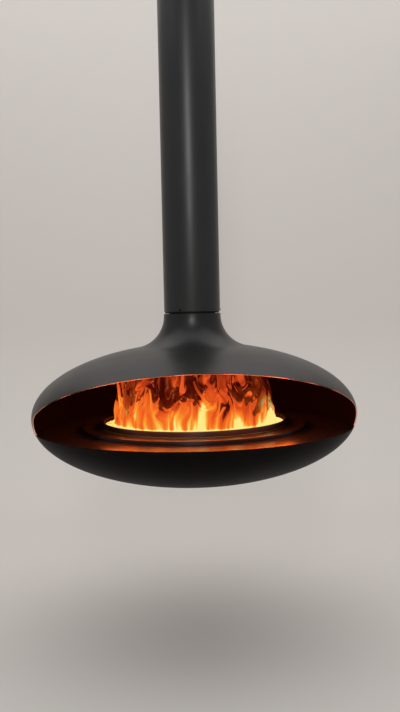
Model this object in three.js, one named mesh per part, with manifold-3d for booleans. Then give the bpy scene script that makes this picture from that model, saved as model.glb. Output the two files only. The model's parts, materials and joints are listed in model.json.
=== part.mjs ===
// A hanging fireplace: an oblate steel hearth that turns on the foot of its flue tube.
// Millimetres, +Z up. The origin is on the flue's axis in the plane of the ceiling. The mouth
// faces -Y. Pieces that rest on or fit round each other are one clearance apart.
import * as THREE from "three";
import { mergeVertices } from "three/addons/utils/BufferGeometryUtils.js";
import Module from "manifold-3d";

const wasm = await Module();
wasm.setup();

// ---- Clearances and facets ----
const CLEARANCE = 0.3;
const RUNNING_GAP = 2.3; // beside anything that turns with the hearth
const SHELL_SEGMENTS = 64; // round the hearth
const FLUE_SEGMENTS = 40; // round the flue and the swivel
const SMALL_SEGMENTS = 12; // round screws, pins and bushes

// ---- Hearth shell ----
const BODY_RADIUS = 625;
const DOME_RISE = 275; // from the equator to where the dome would close without its neck
const BOWL_DEPTH = 265;
const SHELL_WALL = 4;
const NECK_FILLET = 124;
const NECK_STRAIGHT = 5.5; // plain neck above the fillet
const LIP_DROP = 46.6; // the mouth's level lower lip, below the equator
const MOUTH_SETBACK = 50; // how far in front of the axis the mouth's two straight edges would meet
const MOUTH_SLOPE = THREE.MathUtils.degToRad(29.5);
const MOUTH_END = 155; // how far in front of the axis the mouth's rounded ends are
const MOUTH_CORNER = 50;
const MOUTH_CORNER_STEPS = 8;

// ---- Flue ----
const TUBE_FOOT_DEPTH = 1341.5; // from the ceiling to the foot of the carrying tube
const TUBE_RADIUS = 108.6;
const TUBE_WALL = 3;
const NECK_STEP = 1.4; // the neck stands this much proud of the tube
const LINER_SETBACK = 28.6; // of the liner behind the tube's face
const LINER_WALL = 2;
const LINER_COLLAR_WIDTH = 15;
const SPACER_HEIGHT = 20;
const SPACER_WALL = 4;
const SPACER_FINGER_COUNT = 3;
const SPACER_FINGER_WIDTH = 16;
const SPACER_LEVELS = { upper: 0.25, lower: 0.75 }; // as shares of the tube's length

// ---- Ceiling fixing ----
const CEILING_PLATE_RADIUS = 182;
const CEILING_PLATE_THICKNESS = 12;
const ANCHOR_HOLE_RADIUS = 6.5;
const ANCHOR_COUNT = 4;
const TUBE_FLANGE_WIDTH = 41;
const TUBE_FLANGE_THICKNESS = 10;
const FLANGE_BOLT_COUNT = 4;
const FLANGE_BOLT_RADIUS = 6;
const FLANGE_BOLT_HEAD_RADIUS = 10;
const FLANGE_BOLT_HEAD_HEIGHT = 8;
const FLANGE_BOLT_GRIP = 8; // of each bolt inside the ceiling plate
const ROSETTE_ROOM = 12; // under the bolt heads
const ROSETTE_SHEET = 2;
const ROSETTE_SIDE_GAP = 4;
const ROSETTE_COLLAR_WIDTH = 9;
const ROSETTE_COLLAR_HEIGHT = 12;
const ROSETTE_SCREW_RADIUS = 2.5;

// ---- Swivel ----
const GROOVE = 8; // between the foot of the tube and the top of the neck
const HUB_SETBACK = 18.6; // of the hub's sleeve behind the tube's face
const HUB_WALL = 6;
const HUB_RING_HEIGHT = 30;
const HUB_RING_GAP = 1.5; // between the hub's ring, which fills the groove, and the neck
const BALL_DROP = 42; // from the top of the neck to the balls' centres
const BALL_RADIUS = 4.5;
const BALL_COUNT = 8;
const RACE_OPENING = 6.8; // between the two races
const RACE_THICKNESS = 4.6;
const CAGE_THICKNESS = 3;
const CAGE_SIDE_GAP = 1;
const BEARING_NUT_HEIGHT = 11;
const NECK_RING_THICKNESS = 8;
const SEAL_RADIUS = 4;
const SEAL_SIDES = 6;
const PIPE_SCREW_RISE = 6; // above the foot of the tube
const PIPE_SCREW_AZIMUTHS = [242, 2, 122].map(THREE.MathUtils.degToRad);
const PIPE_SCREW_RADIUS = 2.5;
const PIPE_SCREW_HEAD_RADIUS = 4;
const PIPE_SCREW_HEAD_HEIGHT = 2.5;

// ---- Fire bed ----
const DECK_DROP = 11.9; // from the mouth's lip to the deck
const DECK_THICKNESS = 4;
const DECK_BORE_GAP = 6;
const BRACKET_COUNT = 4;
const BRACKET_REACH = 45;
const BRACKET_HEIGHT = 40;
const BRACKET_THICKNESS = 6;
const TRAY_RADIUS = 430;
const TRAY_SKIRT = 15;
const TRAY_WALL = 5;
const TRAY_DEPTH = 42.5; // from the tray's brim to its floor
const RING_RADIUS = 356;
const RING_HEIGHT = 20.3;
const TRAY_HOLE_RADIUS = 150;
const BRICK_COUNT = 4;
const BRICK_THICKNESS = 25;
const BRICK_JOINT = 1;
const BRICK_ARC_STEPS = 8;
const PAN_RIM_WIDTH = 18;
const PAN_SIDE_GAP = 10;
const PAN_DEPTH = 65;
const PAN_WALL = 2;
const PAN_RIM_THICKNESS = 3;
const GRATE_INSET = 6; // of the grate's edge inside the pan's rim
const GRATE_THICKNESS = 12;
const GRATE_BORDER = 24;
const GRATE_SLOT_COUNT = 9;
const GRATE_SLOT_WIDTH = 10;
const GRATE_SLOT_PITCH = 24;

// ---- Smoke damper ----
const COLLAR_ROOM = 4; // round the smoke liner
const COLLAR_WALL = 3;
const COLLAR_PLATE = 4;
const LINER_LAP = 8; // of the smoke liner inside the collar
const SHAFT_DROP = 60; // from the collar's top to the damper shaft
const COLLAR_BELOW_SHAFT = 40;
const SHAFT_RADIUS = 5;
const BUSH_WALL = 2.7;
const BUSH_FLANGE_WIDTH = 3;
const BUSH_FLANGE_THICKNESS = 2;
const BUSH_INSET = 1; // of each bush's end inside the collar's bore
const DISC_EDGE_GAP = 2;
const DISC_THICKNESS = 3;
const DISC_SCREW_SPACING = 80;
const DISC_SCREW_RADIUS = 2;
const DISC_SCREW_HEAD_RADIUS = 4.5;
const DISC_SCREW_HEAD_HEIGHT = 2.5;
const CLIP_THICKNESS = 1.5;
const CLIP_WIDTH = 3;
const LEVER_REACH = 61; // of the lever's boss in front of the collar
const LEVER_BOSS_WIDTH = 4;
const LEVER_BOSS_LENGTH = 10;
const LEVER_ROD_RADIUS = 3.5;
const LEVER_ROD_LENGTH = 62;
const LEVER_SCREW_RADIUS = 2.5;
const LEVER_SCREW_DEPTH = 12;
const KNOB_RADIUS = 9;
const KNOB_LENGTH = 26;
const KNOB_BORE_DEPTH = 18;

// ---- Levels and radii that follow from the driving sizes ----
const MERGE_DISTANCE = 1e-3;
const FULL_TURN = 2 * Math.PI;
const UP = new THREE.Vector3(0, 0, 1);
const FORWARD = new THREE.Vector3(0, -1, 0);
const BACKWARD = new THREE.Vector3(0, 1, 0);
const RIGHT = new THREE.Vector3(1, 0, 0);

const tubeFootZ = -TUBE_FOOT_DEPTH;
const tubeInner = TUBE_RADIUS - TUBE_WALL;
const linerRadius = TUBE_RADIUS - LINER_SETBACK;
const linerInner = linerRadius - LINER_WALL;
const tubeTopZ = -CEILING_PLATE_THICKNESS - CLEARANCE;
const tubeFlangeRadius = TUBE_RADIUS + TUBE_FLANGE_WIDTH;
const boltHeadZ = tubeTopZ - TUBE_FLANGE_THICKNESS - CLEARANCE;
const rosetteFootZ = boltHeadZ - FLANGE_BOLT_HEAD_HEIGHT - ROSETTE_ROOM;

const hubRadius = TUBE_RADIUS - HUB_SETBACK;
const neckRadius = TUBE_RADIUS + NECK_STEP;
const neckInner = neckRadius - SHELL_WALL;
const raceInner = hubRadius + RUNNING_GAP;
const raceOuter = neckInner - RUNNING_GAP;
const ballPitch = (raceInner + raceOuter) / 2;
const ballZ = tubeFootZ - GROOVE - BALL_DROP;
const upperRaceZ = RACE_OPENING / 2;
const neckRingZ = upperRaceZ + RACE_THICKNESS + CLEARANCE;
const nutTopZ = -neckRingZ;
const nutFootZ = nutTopZ - BEARING_NUT_HEIGHT;
const sealZ = nutFootZ - CLEARANCE - SEAL_RADIUS;
const collarTopZ = sealZ - SEAL_RADIUS - CLEARANCE;
const collarBore = linerRadius + COLLAR_ROOM;
const collarOuter = collarBore + COLLAR_WALL;
const shaftZ = collarTopZ - SHAFT_DROP;

// ---- Solids ----

/** A closed geometry as a solid that can be added to, cut and intersected. */
function solidOf(geometry) {
  const bare = geometry.clone();
  bare.deleteAttribute("normal");
  bare.deleteAttribute("uv");
  const merged = mergeVertices(bare, MERGE_DISTANCE);
  return new wasm.Manifold(
    new wasm.Mesh({
      numProp: 3,
      vertProperties: merged.attributes.position.array,
      triVerts: new Uint32Array(merged.index.array),
    }),
  );
}

/** A solid as a geometry that a mesh can show. */
function geometryOf(solid) {
  const { vertProperties, triVerts } = solid.getMesh();
  const geometry = new THREE.BufferGeometry();
  geometry.setAttribute("position", new THREE.BufferAttribute(vertProperties, 3));
  geometry.setIndex(new THREE.BufferAttribute(triVerts, 1));
  geometry.computeVertexNormals();
  return geometry;
}

/** One geometry with others cut out of it. */
function cut(geometry, ...tools) {
  const solid = tools.reduce((rest, tool) => rest.subtract(solidOf(tool)), solidOf(geometry));
  return geometryOf(solid);
}

/** Two or more geometries joined into one. */
function joined(geometry, ...others) {
  const solid = others.reduce((sum, other) => sum.add(solidOf(other)), solidOf(geometry));
  return geometryOf(solid);
}

/** A body of revolution about Z from its [radius, height] corners, in either order. */
function revolved(corners, segments) {
  const profile = corners.map(([radius, height]) => new THREE.Vector2(radius, height));
  if (THREE.ShapeUtils.area(profile) < 0) profile.reverse();
  const onAxis = profile.findIndex((point) => point.x === 0);
  if (onAxis < 0) profile.push(profile[0].clone());
  while (profile[0].x === 0 && profile.at(-1).x !== 0) profile.push(profile.shift());
  while (onAxis >= 0 && profile[0].x !== 0) profile.push(profile.shift());
  if (profile[1].x === 0) profile.push(profile.shift());
  return new THREE.LatheGeometry(profile, segments).rotateX(Math.PI / 2);
}

/** A plain ring about Z. */
function ring(inner, outer, low, high, segments = FLUE_SEGMENTS) {
  return revolved([[inner, low], [outer, low], [outer, high], [inner, high]], segments);
}

/** A plain cylinder about Z. */
function rod(radius, low, high, segments = SMALL_SEGMENTS) {
  return revolved([[0, low], [radius, low], [radius, high], [0, high]], segments);
}

/** A screw along Z: its shank goes down from the underside of its head at zero. */
function screw(shankRadius, shankLength, headRadius, headHeight, headSides = SMALL_SEGMENTS) {
  const head = rod(headRadius, 0, headHeight, headSides);
  return joined(head, rod(shankRadius, -shankLength, headHeight / 2));
}

/** A geometry about Z turned so that its +Z points along a direction, then moved. */
function aimed(geometry, direction, position = new THREE.Vector3()) {
  const turn = new THREE.Quaternion().setFromUnitVectors(UP, direction);
  return geometry.applyQuaternion(turn).translate(position.x, position.y, position.z);
}

/** The distance from the axis to the middle of a facet whose corners lie on a radius. */
function acrossFlats(radius, segments) {
  return radius * Math.cos(Math.PI / segments);
}

/** The point at a radius, an azimuth from +X and a height. */
function polar(radius, azimuth, height = 0) {
  return new THREE.Vector3(radius * Math.cos(azimuth), radius * Math.sin(azimuth), height);
}

/** Azimuths evenly round the axis, the first at a given one. */
function azimuths(count, first = 0) {
  return Array.from({ length: count }, (_, index) => first + (FULL_TURN * index) / count);
}

/** The value in a range where a rising function reaches zero. */
function rootOf(rising, low, high) {
  for (let step = 0; step < 60; step += 1) {
    const middle = (low + high) / 2;
    if (rising(middle) < 0) low = middle;
    else high = middle;
  }
  return (low + high) / 2;
}

// ---- Hearth shell, as curves of [radius, height] about the equator ----

/** A point of the dome or bowl, an ellipse's quarter, moved inwards by a wall. */
function ovalPoint(angle, rise, inwards) {
  const across = rise * Math.cos(angle);
  const along = BODY_RADIUS * Math.sin(angle);
  const length = Math.hypot(across, along);
  return [
    BODY_RADIUS * Math.cos(angle) - (inwards * across) / length,
    rise * Math.sin(angle) - (inwards * along) / length,
  ];
}

/** The angle at which the bowl's surface, moved inwards by a wall, is at a height. */
function bowlAngleAt(height, inwards) {
  const rising = (angle) => ovalPoint(angle, BOWL_DEPTH, inwards)[1] - height;
  return rootOf(rising, -Math.PI / 2, 0);
}

/** Points along part of the dome or bowl. */
function ovalArc(from, to, steps, rise, inwards) {
  return Array.from({ length: steps + 1 }, (_, step) =>
    ovalPoint(from + ((to - from) * step) / steps, rise, inwards),
  );
}

/** The fillet between dome and neck: its centre, and the angle of the dome where it starts. */
function neckFillet() {
  const centreRadius = neckRadius + NECK_FILLET;
  const past = (angle) => centreRadius - ovalPoint(angle, DOME_RISE, -NECK_FILLET)[0];
  const domeAngle = rootOf(past, 0, Math.PI / 2);
  const [, centreHeight] = ovalPoint(domeAngle, DOME_RISE, -NECK_FILLET);
  return { domeAngle, centreRadius, centreHeight };
}

/** The hood's side from the lip's level to the top of the neck, moved inwards by a wall. */
function hoodSide(inwards, footHeight, domeSteps, filletSteps) {
  const { domeAngle, centreRadius, centreHeight } = neckFillet();
  const [tangentRadius, tangentHeight] = ovalPoint(domeAngle, DOME_RISE, 0);
  const start = Math.atan2(tangentHeight - centreHeight, tangentRadius - centreRadius);
  const radius = NECK_FILLET + inwards;
  const fillet = Array.from({ length: filletSteps }, (_, index) => {
    const angle = start + ((-Math.PI - start) * (index + 1)) / filletSteps;
    return [centreRadius + radius * Math.cos(angle), centreHeight + radius * Math.sin(angle)];
  });
  return [
    ...ovalArc(bowlAngleAt(footHeight, inwards), 0, 2, BOWL_DEPTH, inwards),
    ...ovalArc(0, domeAngle, domeSteps, DOME_RISE, inwards).slice(1),
    ...fillet,
    [neckRadius - inwards, centreHeight + NECK_STRAIGHT],
  ];
}

/** The radius at a height on a side made of straight steps. */
function radiusOn(side, height) {
  const next = side.findIndex(([, level]) => level >= height);
  const [lowRadius, low] = side[next - 1];
  const [highRadius, high] = side[next];
  return lowRadius + ((highRadius - lowRadius) * (height - low)) / (high - low);
}

const hoodFoot = -LIP_DROP + CLEARANCE;
const hoodOutside = hoodSide(0, hoodFoot, 12, 8);
const hoodInside = hoodSide(SHELL_WALL, hoodFoot, 8, 5);
const neckTop = hoodOutside.at(-1)[1];
const equatorZ = tubeFootZ - GROOVE - neckTop;
const swivelAboveEquator = neckTop - BALL_DROP;

const bowlOutside = ovalArc(-Math.PI / 2, bowlAngleAt(-LIP_DROP, 0), 9, BOWL_DEPTH, 0);
const bowlInside = ovalArc(
  -Math.PI / 2,
  bowlAngleAt(-LIP_DROP, SHELL_WALL),
  6,
  BOWL_DEPTH,
  SHELL_WALL,
);

const deckTop = -LIP_DROP - DECK_DROP;
const deckFoot = deckTop - DECK_THICKNESS;
const brimTop = deckTop + TRAY_SKIRT;
const trayFloor = brimTop - TRAY_DEPTH;
const ringInner = RING_RADIUS - TRAY_WALL;
const panRimZ = trayFloor + CLEARANCE;
const panRimRadius = TRAY_HOLE_RADIUS - PAN_SIDE_GAP + PAN_RIM_WIDTH;
const panRadius = TRAY_HOLE_RADIUS - PAN_SIDE_GAP;
const panFloorZ = panRimZ - PAN_DEPTH;
const grateZ = panRimZ + PAN_RIM_THICKNESS + CLEARANCE;
const grateRadius = panRimRadius - GRATE_INSET;
const brickInner = panRimRadius + PAN_SIDE_GAP;

// ---- Materials ----

/** The heat-proof black paint of everything that shows. */
function blackPaint() {
  return new THREE.MeshStandardMaterial({ color: 0x1b1b1c, roughness: 0.55, metalness: 0.3 });
}

/** Bare or galvanised steel of the hidden structure. */
function plainSteel() {
  return new THREE.MeshStandardMaterial({ color: 0x8c8f92, roughness: 0.4, metalness: 0.9 });
}

/** The stainless steel of the smoke's path. */
function stainlessSteel() {
  return new THREE.MeshStandardMaterial({ color: 0xa9abad, roughness: 0.3, metalness: 0.95 });
}

/** Cast iron that has seen fires. */
function castIron() {
  return new THREE.MeshStandardMaterial({ color: 0x2a2826, roughness: 0.8, metalness: 0.6 });
}

/** Refractory brick. */
function fireBrick() {
  return new THREE.MeshStandardMaterial({ color: 0x6f6255, roughness: 0.95, metalness: 0 });
}

/** The bronze of the damper's bushes. */
function bronze() {
  return new THREE.MeshStandardMaterial({ color: 0x9a7440, roughness: 0.45, metalness: 0.9 });
}

/** Woven ceramic-fibre rope. */
function fibreRope() {
  return new THREE.MeshStandardMaterial({ color: 0xbdb6a6, roughness: 1, metalness: 0 });
}

// ---- Assembly helpers ----

/** A group at a height on the axis. */
function level(name, height, parent) {
  const group = new THREE.Group();
  group.name = name;
  group.position.z = height;
  parent.add(group);
  return group;
}

/** A named piece in a group, with a material of its own. */
function piece(group, name, geometry, material) {
  const mesh = new THREE.Mesh(geometry, material());
  mesh.name = name;
  group.add(mesh);
  return mesh;
}

/** A piece made about Z, placed with its +Z along a direction. */
function placed(mesh, position, direction = UP) {
  mesh.position.copy(position);
  mesh.quaternion.setFromUnitVectors(UP, direction);
}

// ---- Ceiling fixing ----

/** The plate that anchors into the ceiling. The liner's collar lies in its top. */
function ceilingPlate() {
  const collarRadius = linerRadius + LINER_COLLAR_WIDTH + CLEARANCE;
  const stepZ = -LINER_WALL - 2 * CLEARANCE;
  const plate = revolved(
    [
      [linerRadius + CLEARANCE, -CEILING_PLATE_THICKNESS],
      [CEILING_PLATE_RADIUS, -CEILING_PLATE_THICKNESS],
      [CEILING_PLATE_RADIUS, 0],
      [collarRadius, 0],
      [collarRadius, stepZ],
      [linerRadius + CLEARANCE, stepZ],
    ],
    FLUE_SEGMENTS,
  );
  const anchorCircle = (tubeFlangeRadius + CEILING_PLATE_RADIUS) / 2;
  const anchorHoles = azimuths(ANCHOR_COUNT, Math.PI / ANCHOR_COUNT).map((azimuth) =>
    aimed(
      rod(ANCHOR_HOLE_RADIUS, -CEILING_PLATE_THICKNESS * 2, CEILING_PLATE_THICKNESS),
      UP,
      polar(anchorCircle, azimuth),
    ),
  );
  return cut(plate, ...anchorHoles, ...flangeBoltHoles(-CEILING_PLATE_THICKNESS));
}

/** The places of the bolts that hold the tube's flange to the ceiling plate. */
function flangeBoltPlaces() {
  const circle = (TUBE_RADIUS + tubeFlangeRadius) / 2;
  return azimuths(FLANGE_BOLT_COUNT).map((azimuth) => polar(circle, azimuth, boltHeadZ));
}

/** The bores those bolts need in a piece whose underside is at a height. */
function flangeBoltHoles(undersideZ) {
  const top = -CEILING_PLATE_THICKNESS + FLANGE_BOLT_GRIP + CLEARANCE;
  return flangeBoltPlaces().map(({ x, y }) =>
    aimed(
      rod(FLANGE_BOLT_RADIUS + CLEARANCE, undersideZ - CLEARANCE, top),
      UP,
      new THREE.Vector3(x, y, 0),
    ),
  );
}

/** The flange welded round the top of the carrying tube. */
function tubeFlange() {
  const footZ = tubeTopZ - TUBE_FLANGE_THICKNESS;
  const flange = ring(TUBE_RADIUS + CLEARANCE, tubeFlangeRadius, footZ, tubeTopZ);
  return cut(flange, ...flangeBoltHoles(footZ));
}

/** A hexagon-headed bolt that comes up from under the flange. */
function flangeBolt() {
  const shank = TUBE_FLANGE_THICKNESS + 2 * CLEARANCE + FLANGE_BOLT_GRIP;
  return screw(
    FLANGE_BOLT_RADIUS,
    shank,
    FLANGE_BOLT_HEAD_RADIUS,
    FLANGE_BOLT_HEAD_HEIGHT,
    6,
  );
}

/** The cup that hides the ceiling plate, open at its top. */
function rosette() {
  const inner = CEILING_PLATE_RADIUS + ROSETTE_SIDE_GAP;
  const outer = inner + ROSETTE_SHEET;
  const bore = TUBE_RADIUS + CLEARANCE;
  return revolved(
    [
      [bore, rosetteFootZ - ROSETTE_SHEET],
      [outer, rosetteFootZ - ROSETTE_SHEET],
      [outer, -CLEARANCE],
      [inner, -CLEARANCE],
      [inner, rosetteFootZ],
      [bore, rosetteFootZ],
    ],
    FLUE_SEGMENTS,
  );
}

/** The level of the grub screw in the rosette's collar. */
function rosetteScrewZ() {
  return rosetteFootZ - ROSETTE_SHEET - CLEARANCE - ROSETTE_COLLAR_HEIGHT / 2;
}

/** The clamp collar that carries the rosette, tapped for a grub screw at the back. */
function rosetteCollar() {
  const topZ = rosetteFootZ - ROSETTE_SHEET - CLEARANCE;
  const inner = TUBE_RADIUS + CLEARANCE;
  const collar = ring(
    inner,
    inner + ROSETTE_COLLAR_WIDTH,
    topZ - ROSETTE_COLLAR_HEIGHT,
    topZ,
  );
  const hole = rod(ROSETTE_SCREW_RADIUS + CLEARANCE, 0, 2 * TUBE_RADIUS);
  return cut(collar, aimed(hole, BACKWARD, new THREE.Vector3(0, 0, rosetteScrewZ())));
}

/** The grub screw, from just clear of the tube to the collar's face. */
function rosetteScrew() {
  return rod(ROSETTE_SCREW_RADIUS, 2 * CLEARANCE, CLEARANCE + ROSETTE_COLLAR_WIDTH);
}

// ---- Flue ----

/** The bores of the pipe screws, from the axis out to a radius. */
function pipeScrewHoles(toRadius) {
  const centre = new THREE.Vector3(0, 0, tubeFootZ + PIPE_SCREW_RISE);
  const fromRadius = hubRadius - CLEARANCE;
  return PIPE_SCREW_AZIMUTHS.map((azimuth) =>
    aimed(rod(PIPE_SCREW_RADIUS + CLEARANCE, fromRadius, toRadius), polar(1, azimuth), centre),
  );
}

/** The visible pipe, which carries the whole hearth. */
function carryingTube() {
  const tube = ring(tubeInner, TUBE_RADIUS, tubeFootZ, tubeTopZ);
  return cut(tube, ...pipeScrewHoles(TUBE_RADIUS * 2));
}

/** The smoke's own tube, hung by the collar at its top. */
function smokeLiner() {
  const collarRadius = linerRadius + LINER_COLLAR_WIDTH;
  const collarFootZ = -LINER_WALL - CLEARANCE;
  const footZ = ballZ + collarTopZ - LINER_LAP;
  return revolved(
    [
      [linerInner, footZ],
      [linerRadius, footZ],
      [linerRadius, collarFootZ],
      [collarRadius, collarFootZ],
      [collarRadius, -CLEARANCE],
      [linerInner, -CLEARANCE],
    ],
    FLUE_SEGMENTS,
  );
}

/** A ring round the liner with fingers that reach the tube. */
function linerSpacer() {
  const hubRing = ring(
    linerRadius + CLEARANCE,
    linerRadius + CLEARANCE + SPACER_WALL,
    0,
    SPACER_HEIGHT,
  );
  const tip = acrossFlats(tubeInner, FLUE_SEGMENTS) - 2 * CLEARANCE;
  const root = linerRadius + SPACER_WALL / 2;
  const fingers = azimuths(SPACER_FINGER_COUNT).map((azimuth) =>
    new THREE.BoxGeometry(tip - root, SPACER_FINGER_WIDTH, SPACER_HEIGHT)
      .translate((tip + root) / 2, 0, SPACER_HEIGHT / 2)
      .rotateZ(azimuth),
  );
  const bore = rod(linerRadius + CLEARANCE, -SPACER_HEIGHT, 2 * SPACER_HEIGHT, FLUE_SEGMENTS);
  return cut(joined(hubRing, ...fingers), bore);
}

// ---- Swivel, about the centres of its balls ----

/** The fixed spigot: a ring in the tube's foot and the groove, and a sleeve down into the neck. */
function swivelHub() {
  const ringFoot = BALL_DROP + HUB_RING_GAP;
  const ringTop = BALL_DROP + GROOVE + HUB_RING_HEIGHT;
  const ringRadius = tubeInner - CLEARANCE;
  const bore = hubRadius - HUB_WALL;
  const hub = revolved(
    [
      [bore, nutFootZ],
      [hubRadius, nutFootZ],
      [hubRadius, ringFoot],
      [ringRadius, ringFoot],
      [ringRadius, ringTop],
      [bore, ringTop],
    ],
    FLUE_SEGMENTS,
  );
  const holes = pipeScrewHoles(TUBE_RADIUS).map((hole) => hole.translate(0, 0, -ballZ));
  return cut(hub, ...holes);
}

/** A screw through the tube's wall into the hub's ring. */
function pipeScrew() {
  const shank = TUBE_RADIUS + CLEARANCE - hubRadius;
  return screw(PIPE_SCREW_RADIUS, shank, PIPE_SCREW_HEAD_RADIUS, PIPE_SCREW_HEAD_HEIGHT);
}

/** The nut on the foot of the hub, which the lower race lies on. */
function bearingNut() {
  return ring(hubRadius + CLEARANCE, raceOuter, nutFootZ, nutTopZ);
}

/** A race: a ring with a round groove for the balls in its top. */
function lowerRace() {
  const top = -RACE_OPENING / 2;
  const groove = BALL_RADIUS + CLEARANCE;
  const reach = Math.acos(-top / groove);
  const steps = 4;
  const grooveCorners = Array.from({ length: steps + 1 }, (_, step) => {
    const angle = reach - (2 * reach * step) / steps;
    return [ballPitch + groove * Math.sin(angle), -groove * Math.cos(angle)];
  });
  const foot = top - RACE_THICKNESS;
  return revolved(
    [[raceInner, foot], [raceOuter, foot], [raceOuter, top], ...grooveCorners, [raceInner, top]],
    FLUE_SEGMENTS,
  );
}

/** The other race, the first one turned over. */
function upperRace() {
  return lowerRace().rotateX(Math.PI);
}

/** The azimuths of the balls. */
function ballAzimuths() {
  return azimuths(BALL_COUNT, Math.PI / BALL_COUNT);
}

/** The cage, a flat ring with a window for each ball. */
function ballCage() {
  const cage = ring(
    hubRadius + CAGE_SIDE_GAP,
    neckInner - CAGE_SIDE_GAP,
    -CAGE_THICKNESS / 2,
    CAGE_THICKNESS / 2,
  );
  const windows = ballAzimuths().map((azimuth) =>
    aimed(rod(BALL_RADIUS + CLEARANCE, -CAGE_THICKNESS, CAGE_THICKNESS), UP, polar(ballPitch, azimuth)),
  );
  return cut(cage, ...windows);
}

/** A ball of the bearing. */
function bearingBall() {
  return new THREE.IcosahedronGeometry(BALL_RADIUS, 1);
}

/** The inward flange of the neck, which the hearth hangs by. */
function neckRing() {
  const outer = acrossFlats(neckInner, SHELL_SEGMENTS) - CLEARANCE;
  return ring(raceInner, outer, neckRingZ, neckRingZ + NECK_RING_THICKNESS);
}

/** The rope that keeps smoke out of the bearing. */
function smokeSeal() {
  const section = azimuths(SEAL_SIDES).map((angle) => [
    ballPitch + SEAL_RADIUS * Math.cos(angle + Math.PI / SEAL_SIDES),
    sealZ + SEAL_RADIUS * Math.sin(angle + Math.PI / SEAL_SIDES),
  ]);
  return revolved(section, FLUE_SEGMENTS);
}

// ---- Hearth, about its equator ----

/** The mouth from the side: its rising edge, then its round end down to the lip's level. */
function mouthSide() {
  const slope = Math.tan(MOUTH_SLOPE);
  const edgeHeight = (forward) => slope * (forward - MOUTH_SETBACK) - LIP_DROP;
  const centre = MOUTH_END + MOUTH_CORNER;
  const centreHeight = edgeHeight(centre) - MOUTH_CORNER / Math.cos(MOUTH_SLOPE);
  const upper = Math.PI / 2 + MOUTH_SLOPE;
  const lower = Math.PI + Math.asin((centreHeight + LIP_DROP) / MOUTH_CORNER);
  const end = Array.from({ length: MOUTH_CORNER_STEPS + 1 }, (_, step) => {
    const angle = upper + ((lower - upper) * step) / MOUTH_CORNER_STEPS;
    return new THREE.Vector2(
      centre + MOUTH_CORNER * Math.cos(angle),
      centreHeight + MOUTH_CORNER * Math.sin(angle),
    );
  });
  const reach = 2 * BODY_RADIUS;
  return [
    new THREE.Vector2(reach, edgeHeight(reach)),
    ...end,
    new THREE.Vector2(end.at(-1).x, -reach),
    new THREE.Vector2(reach, -reach),
  ];
}

/** The hood with its neck, cut by the mouth. */
function hood() {
  const shell = revolved([...hoodOutside, ...hoodInside.toReversed()], SHELL_SEGMENTS);
  const width = 4 * BODY_RADIUS;
  const sideways = new THREE.Matrix4().makeBasis(FORWARD, UP, RIGHT.clone().negate());
  const mouth = new THREE.ExtrudeGeometry(new THREE.Shape(mouthSide()), {
    depth: width,
    bevelEnabled: false,
  })
    .translate(0, 0, -width / 2)
    .applyMatrix4(sideways);
  return cut(shell, mouth);
}

/** The bowl, up to the mouth's level lower lip. */
function bowl() {
  const outside = bowlOutside.with(0, [0, -BOWL_DEPTH]);
  const inside = bowlInside.with(0, [0, SHELL_WALL - BOWL_DEPTH]);
  return revolved([...outside, ...inside.toReversed()], SHELL_SEGMENTS);
}

/** The flat deck that closes the bowl round the fire tray. */
function hearthDeck() {
  const outer = radiusOn(bowlInside, deckFoot) - CLEARANCE;
  return ring(RING_RADIUS + DECK_BORE_GAP, outer, deckFoot, deckTop, SHELL_SEGMENTS);
}

/** A gusset on the bowl's wall that carries the deck, in the plane of X and Z. */
function deckBracket() {
  const top = deckFoot - CLEARANCE;
  const wallAt = (height) =>
    acrossFlats(radiusOn(bowlInside, height), SHELL_SEGMENTS) - CLEARANCE;
  const gusset = new THREE.Shape([
    new THREE.Vector2(wallAt(top) - BRACKET_REACH, top),
    new THREE.Vector2(wallAt(top - BRACKET_HEIGHT), top - BRACKET_HEIGHT),
    new THREE.Vector2(wallAt(top), top),
  ]);
  return new THREE.ExtrudeGeometry(gusset, { depth: BRACKET_THICKNESS, bevelEnabled: false })
    .translate(0, 0, -BRACKET_THICKNESS / 2)
    .rotateX(Math.PI / 2);
}

/** The fire tray: a brim that stands on the deck, a raised ring and a sunk floor. */
function fireTray() {
  const floorFoot = trayFloor - TRAY_WALL;
  const brimFoot = brimTop - TRAY_WALL;
  const skirtFoot = deckTop + CLEARANCE;
  const skirtInner = TRAY_RADIUS - TRAY_WALL;
  return revolved(
    [
      [TRAY_HOLE_RADIUS, floorFoot],
      [RING_RADIUS, floorFoot],
      [RING_RADIUS, brimFoot],
      [skirtInner, brimFoot],
      [skirtInner, skirtFoot],
      [TRAY_RADIUS, skirtFoot],
      [TRAY_RADIUS, brimTop],
      [ringInner, brimTop],
      [ringInner, trayFloor],
      [TRAY_HOLE_RADIUS, trayFloor],
    ],
    SHELL_SEGMENTS,
  );
}

/** The band that is welded on the tray's brim and keeps the embers in. */
function fireRing() {
  const foot = brimTop + CLEARANCE;
  return ring(ringInner, RING_RADIUS, foot, brimTop + RING_HEIGHT, SHELL_SEGMENTS);
}

/** One brick of the ring of bricks on the tray's floor, centred on +X. */
function brick() {
  const outer = acrossFlats(ringInner, SHELL_SEGMENTS) - CLEARANCE;
  const half = Math.PI / BRICK_COUNT;
  const outerHalf = half - BRICK_JOINT / outer;
  const innerHalf = half - BRICK_JOINT / brickInner;
  const plan = new THREE.Shape();
  plan.absarc(0, 0, outer, -outerHalf, outerHalf, false);
  plan.absarc(0, 0, brickInner, innerHalf, -innerHalf, true);
  return new THREE.ExtrudeGeometry(plan, {
    depth: BRICK_THICKNESS,
    bevelEnabled: false,
    curveSegments: BRICK_ARC_STEPS,
  }).translate(0, 0, trayFloor + CLEARANCE);
}

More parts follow.
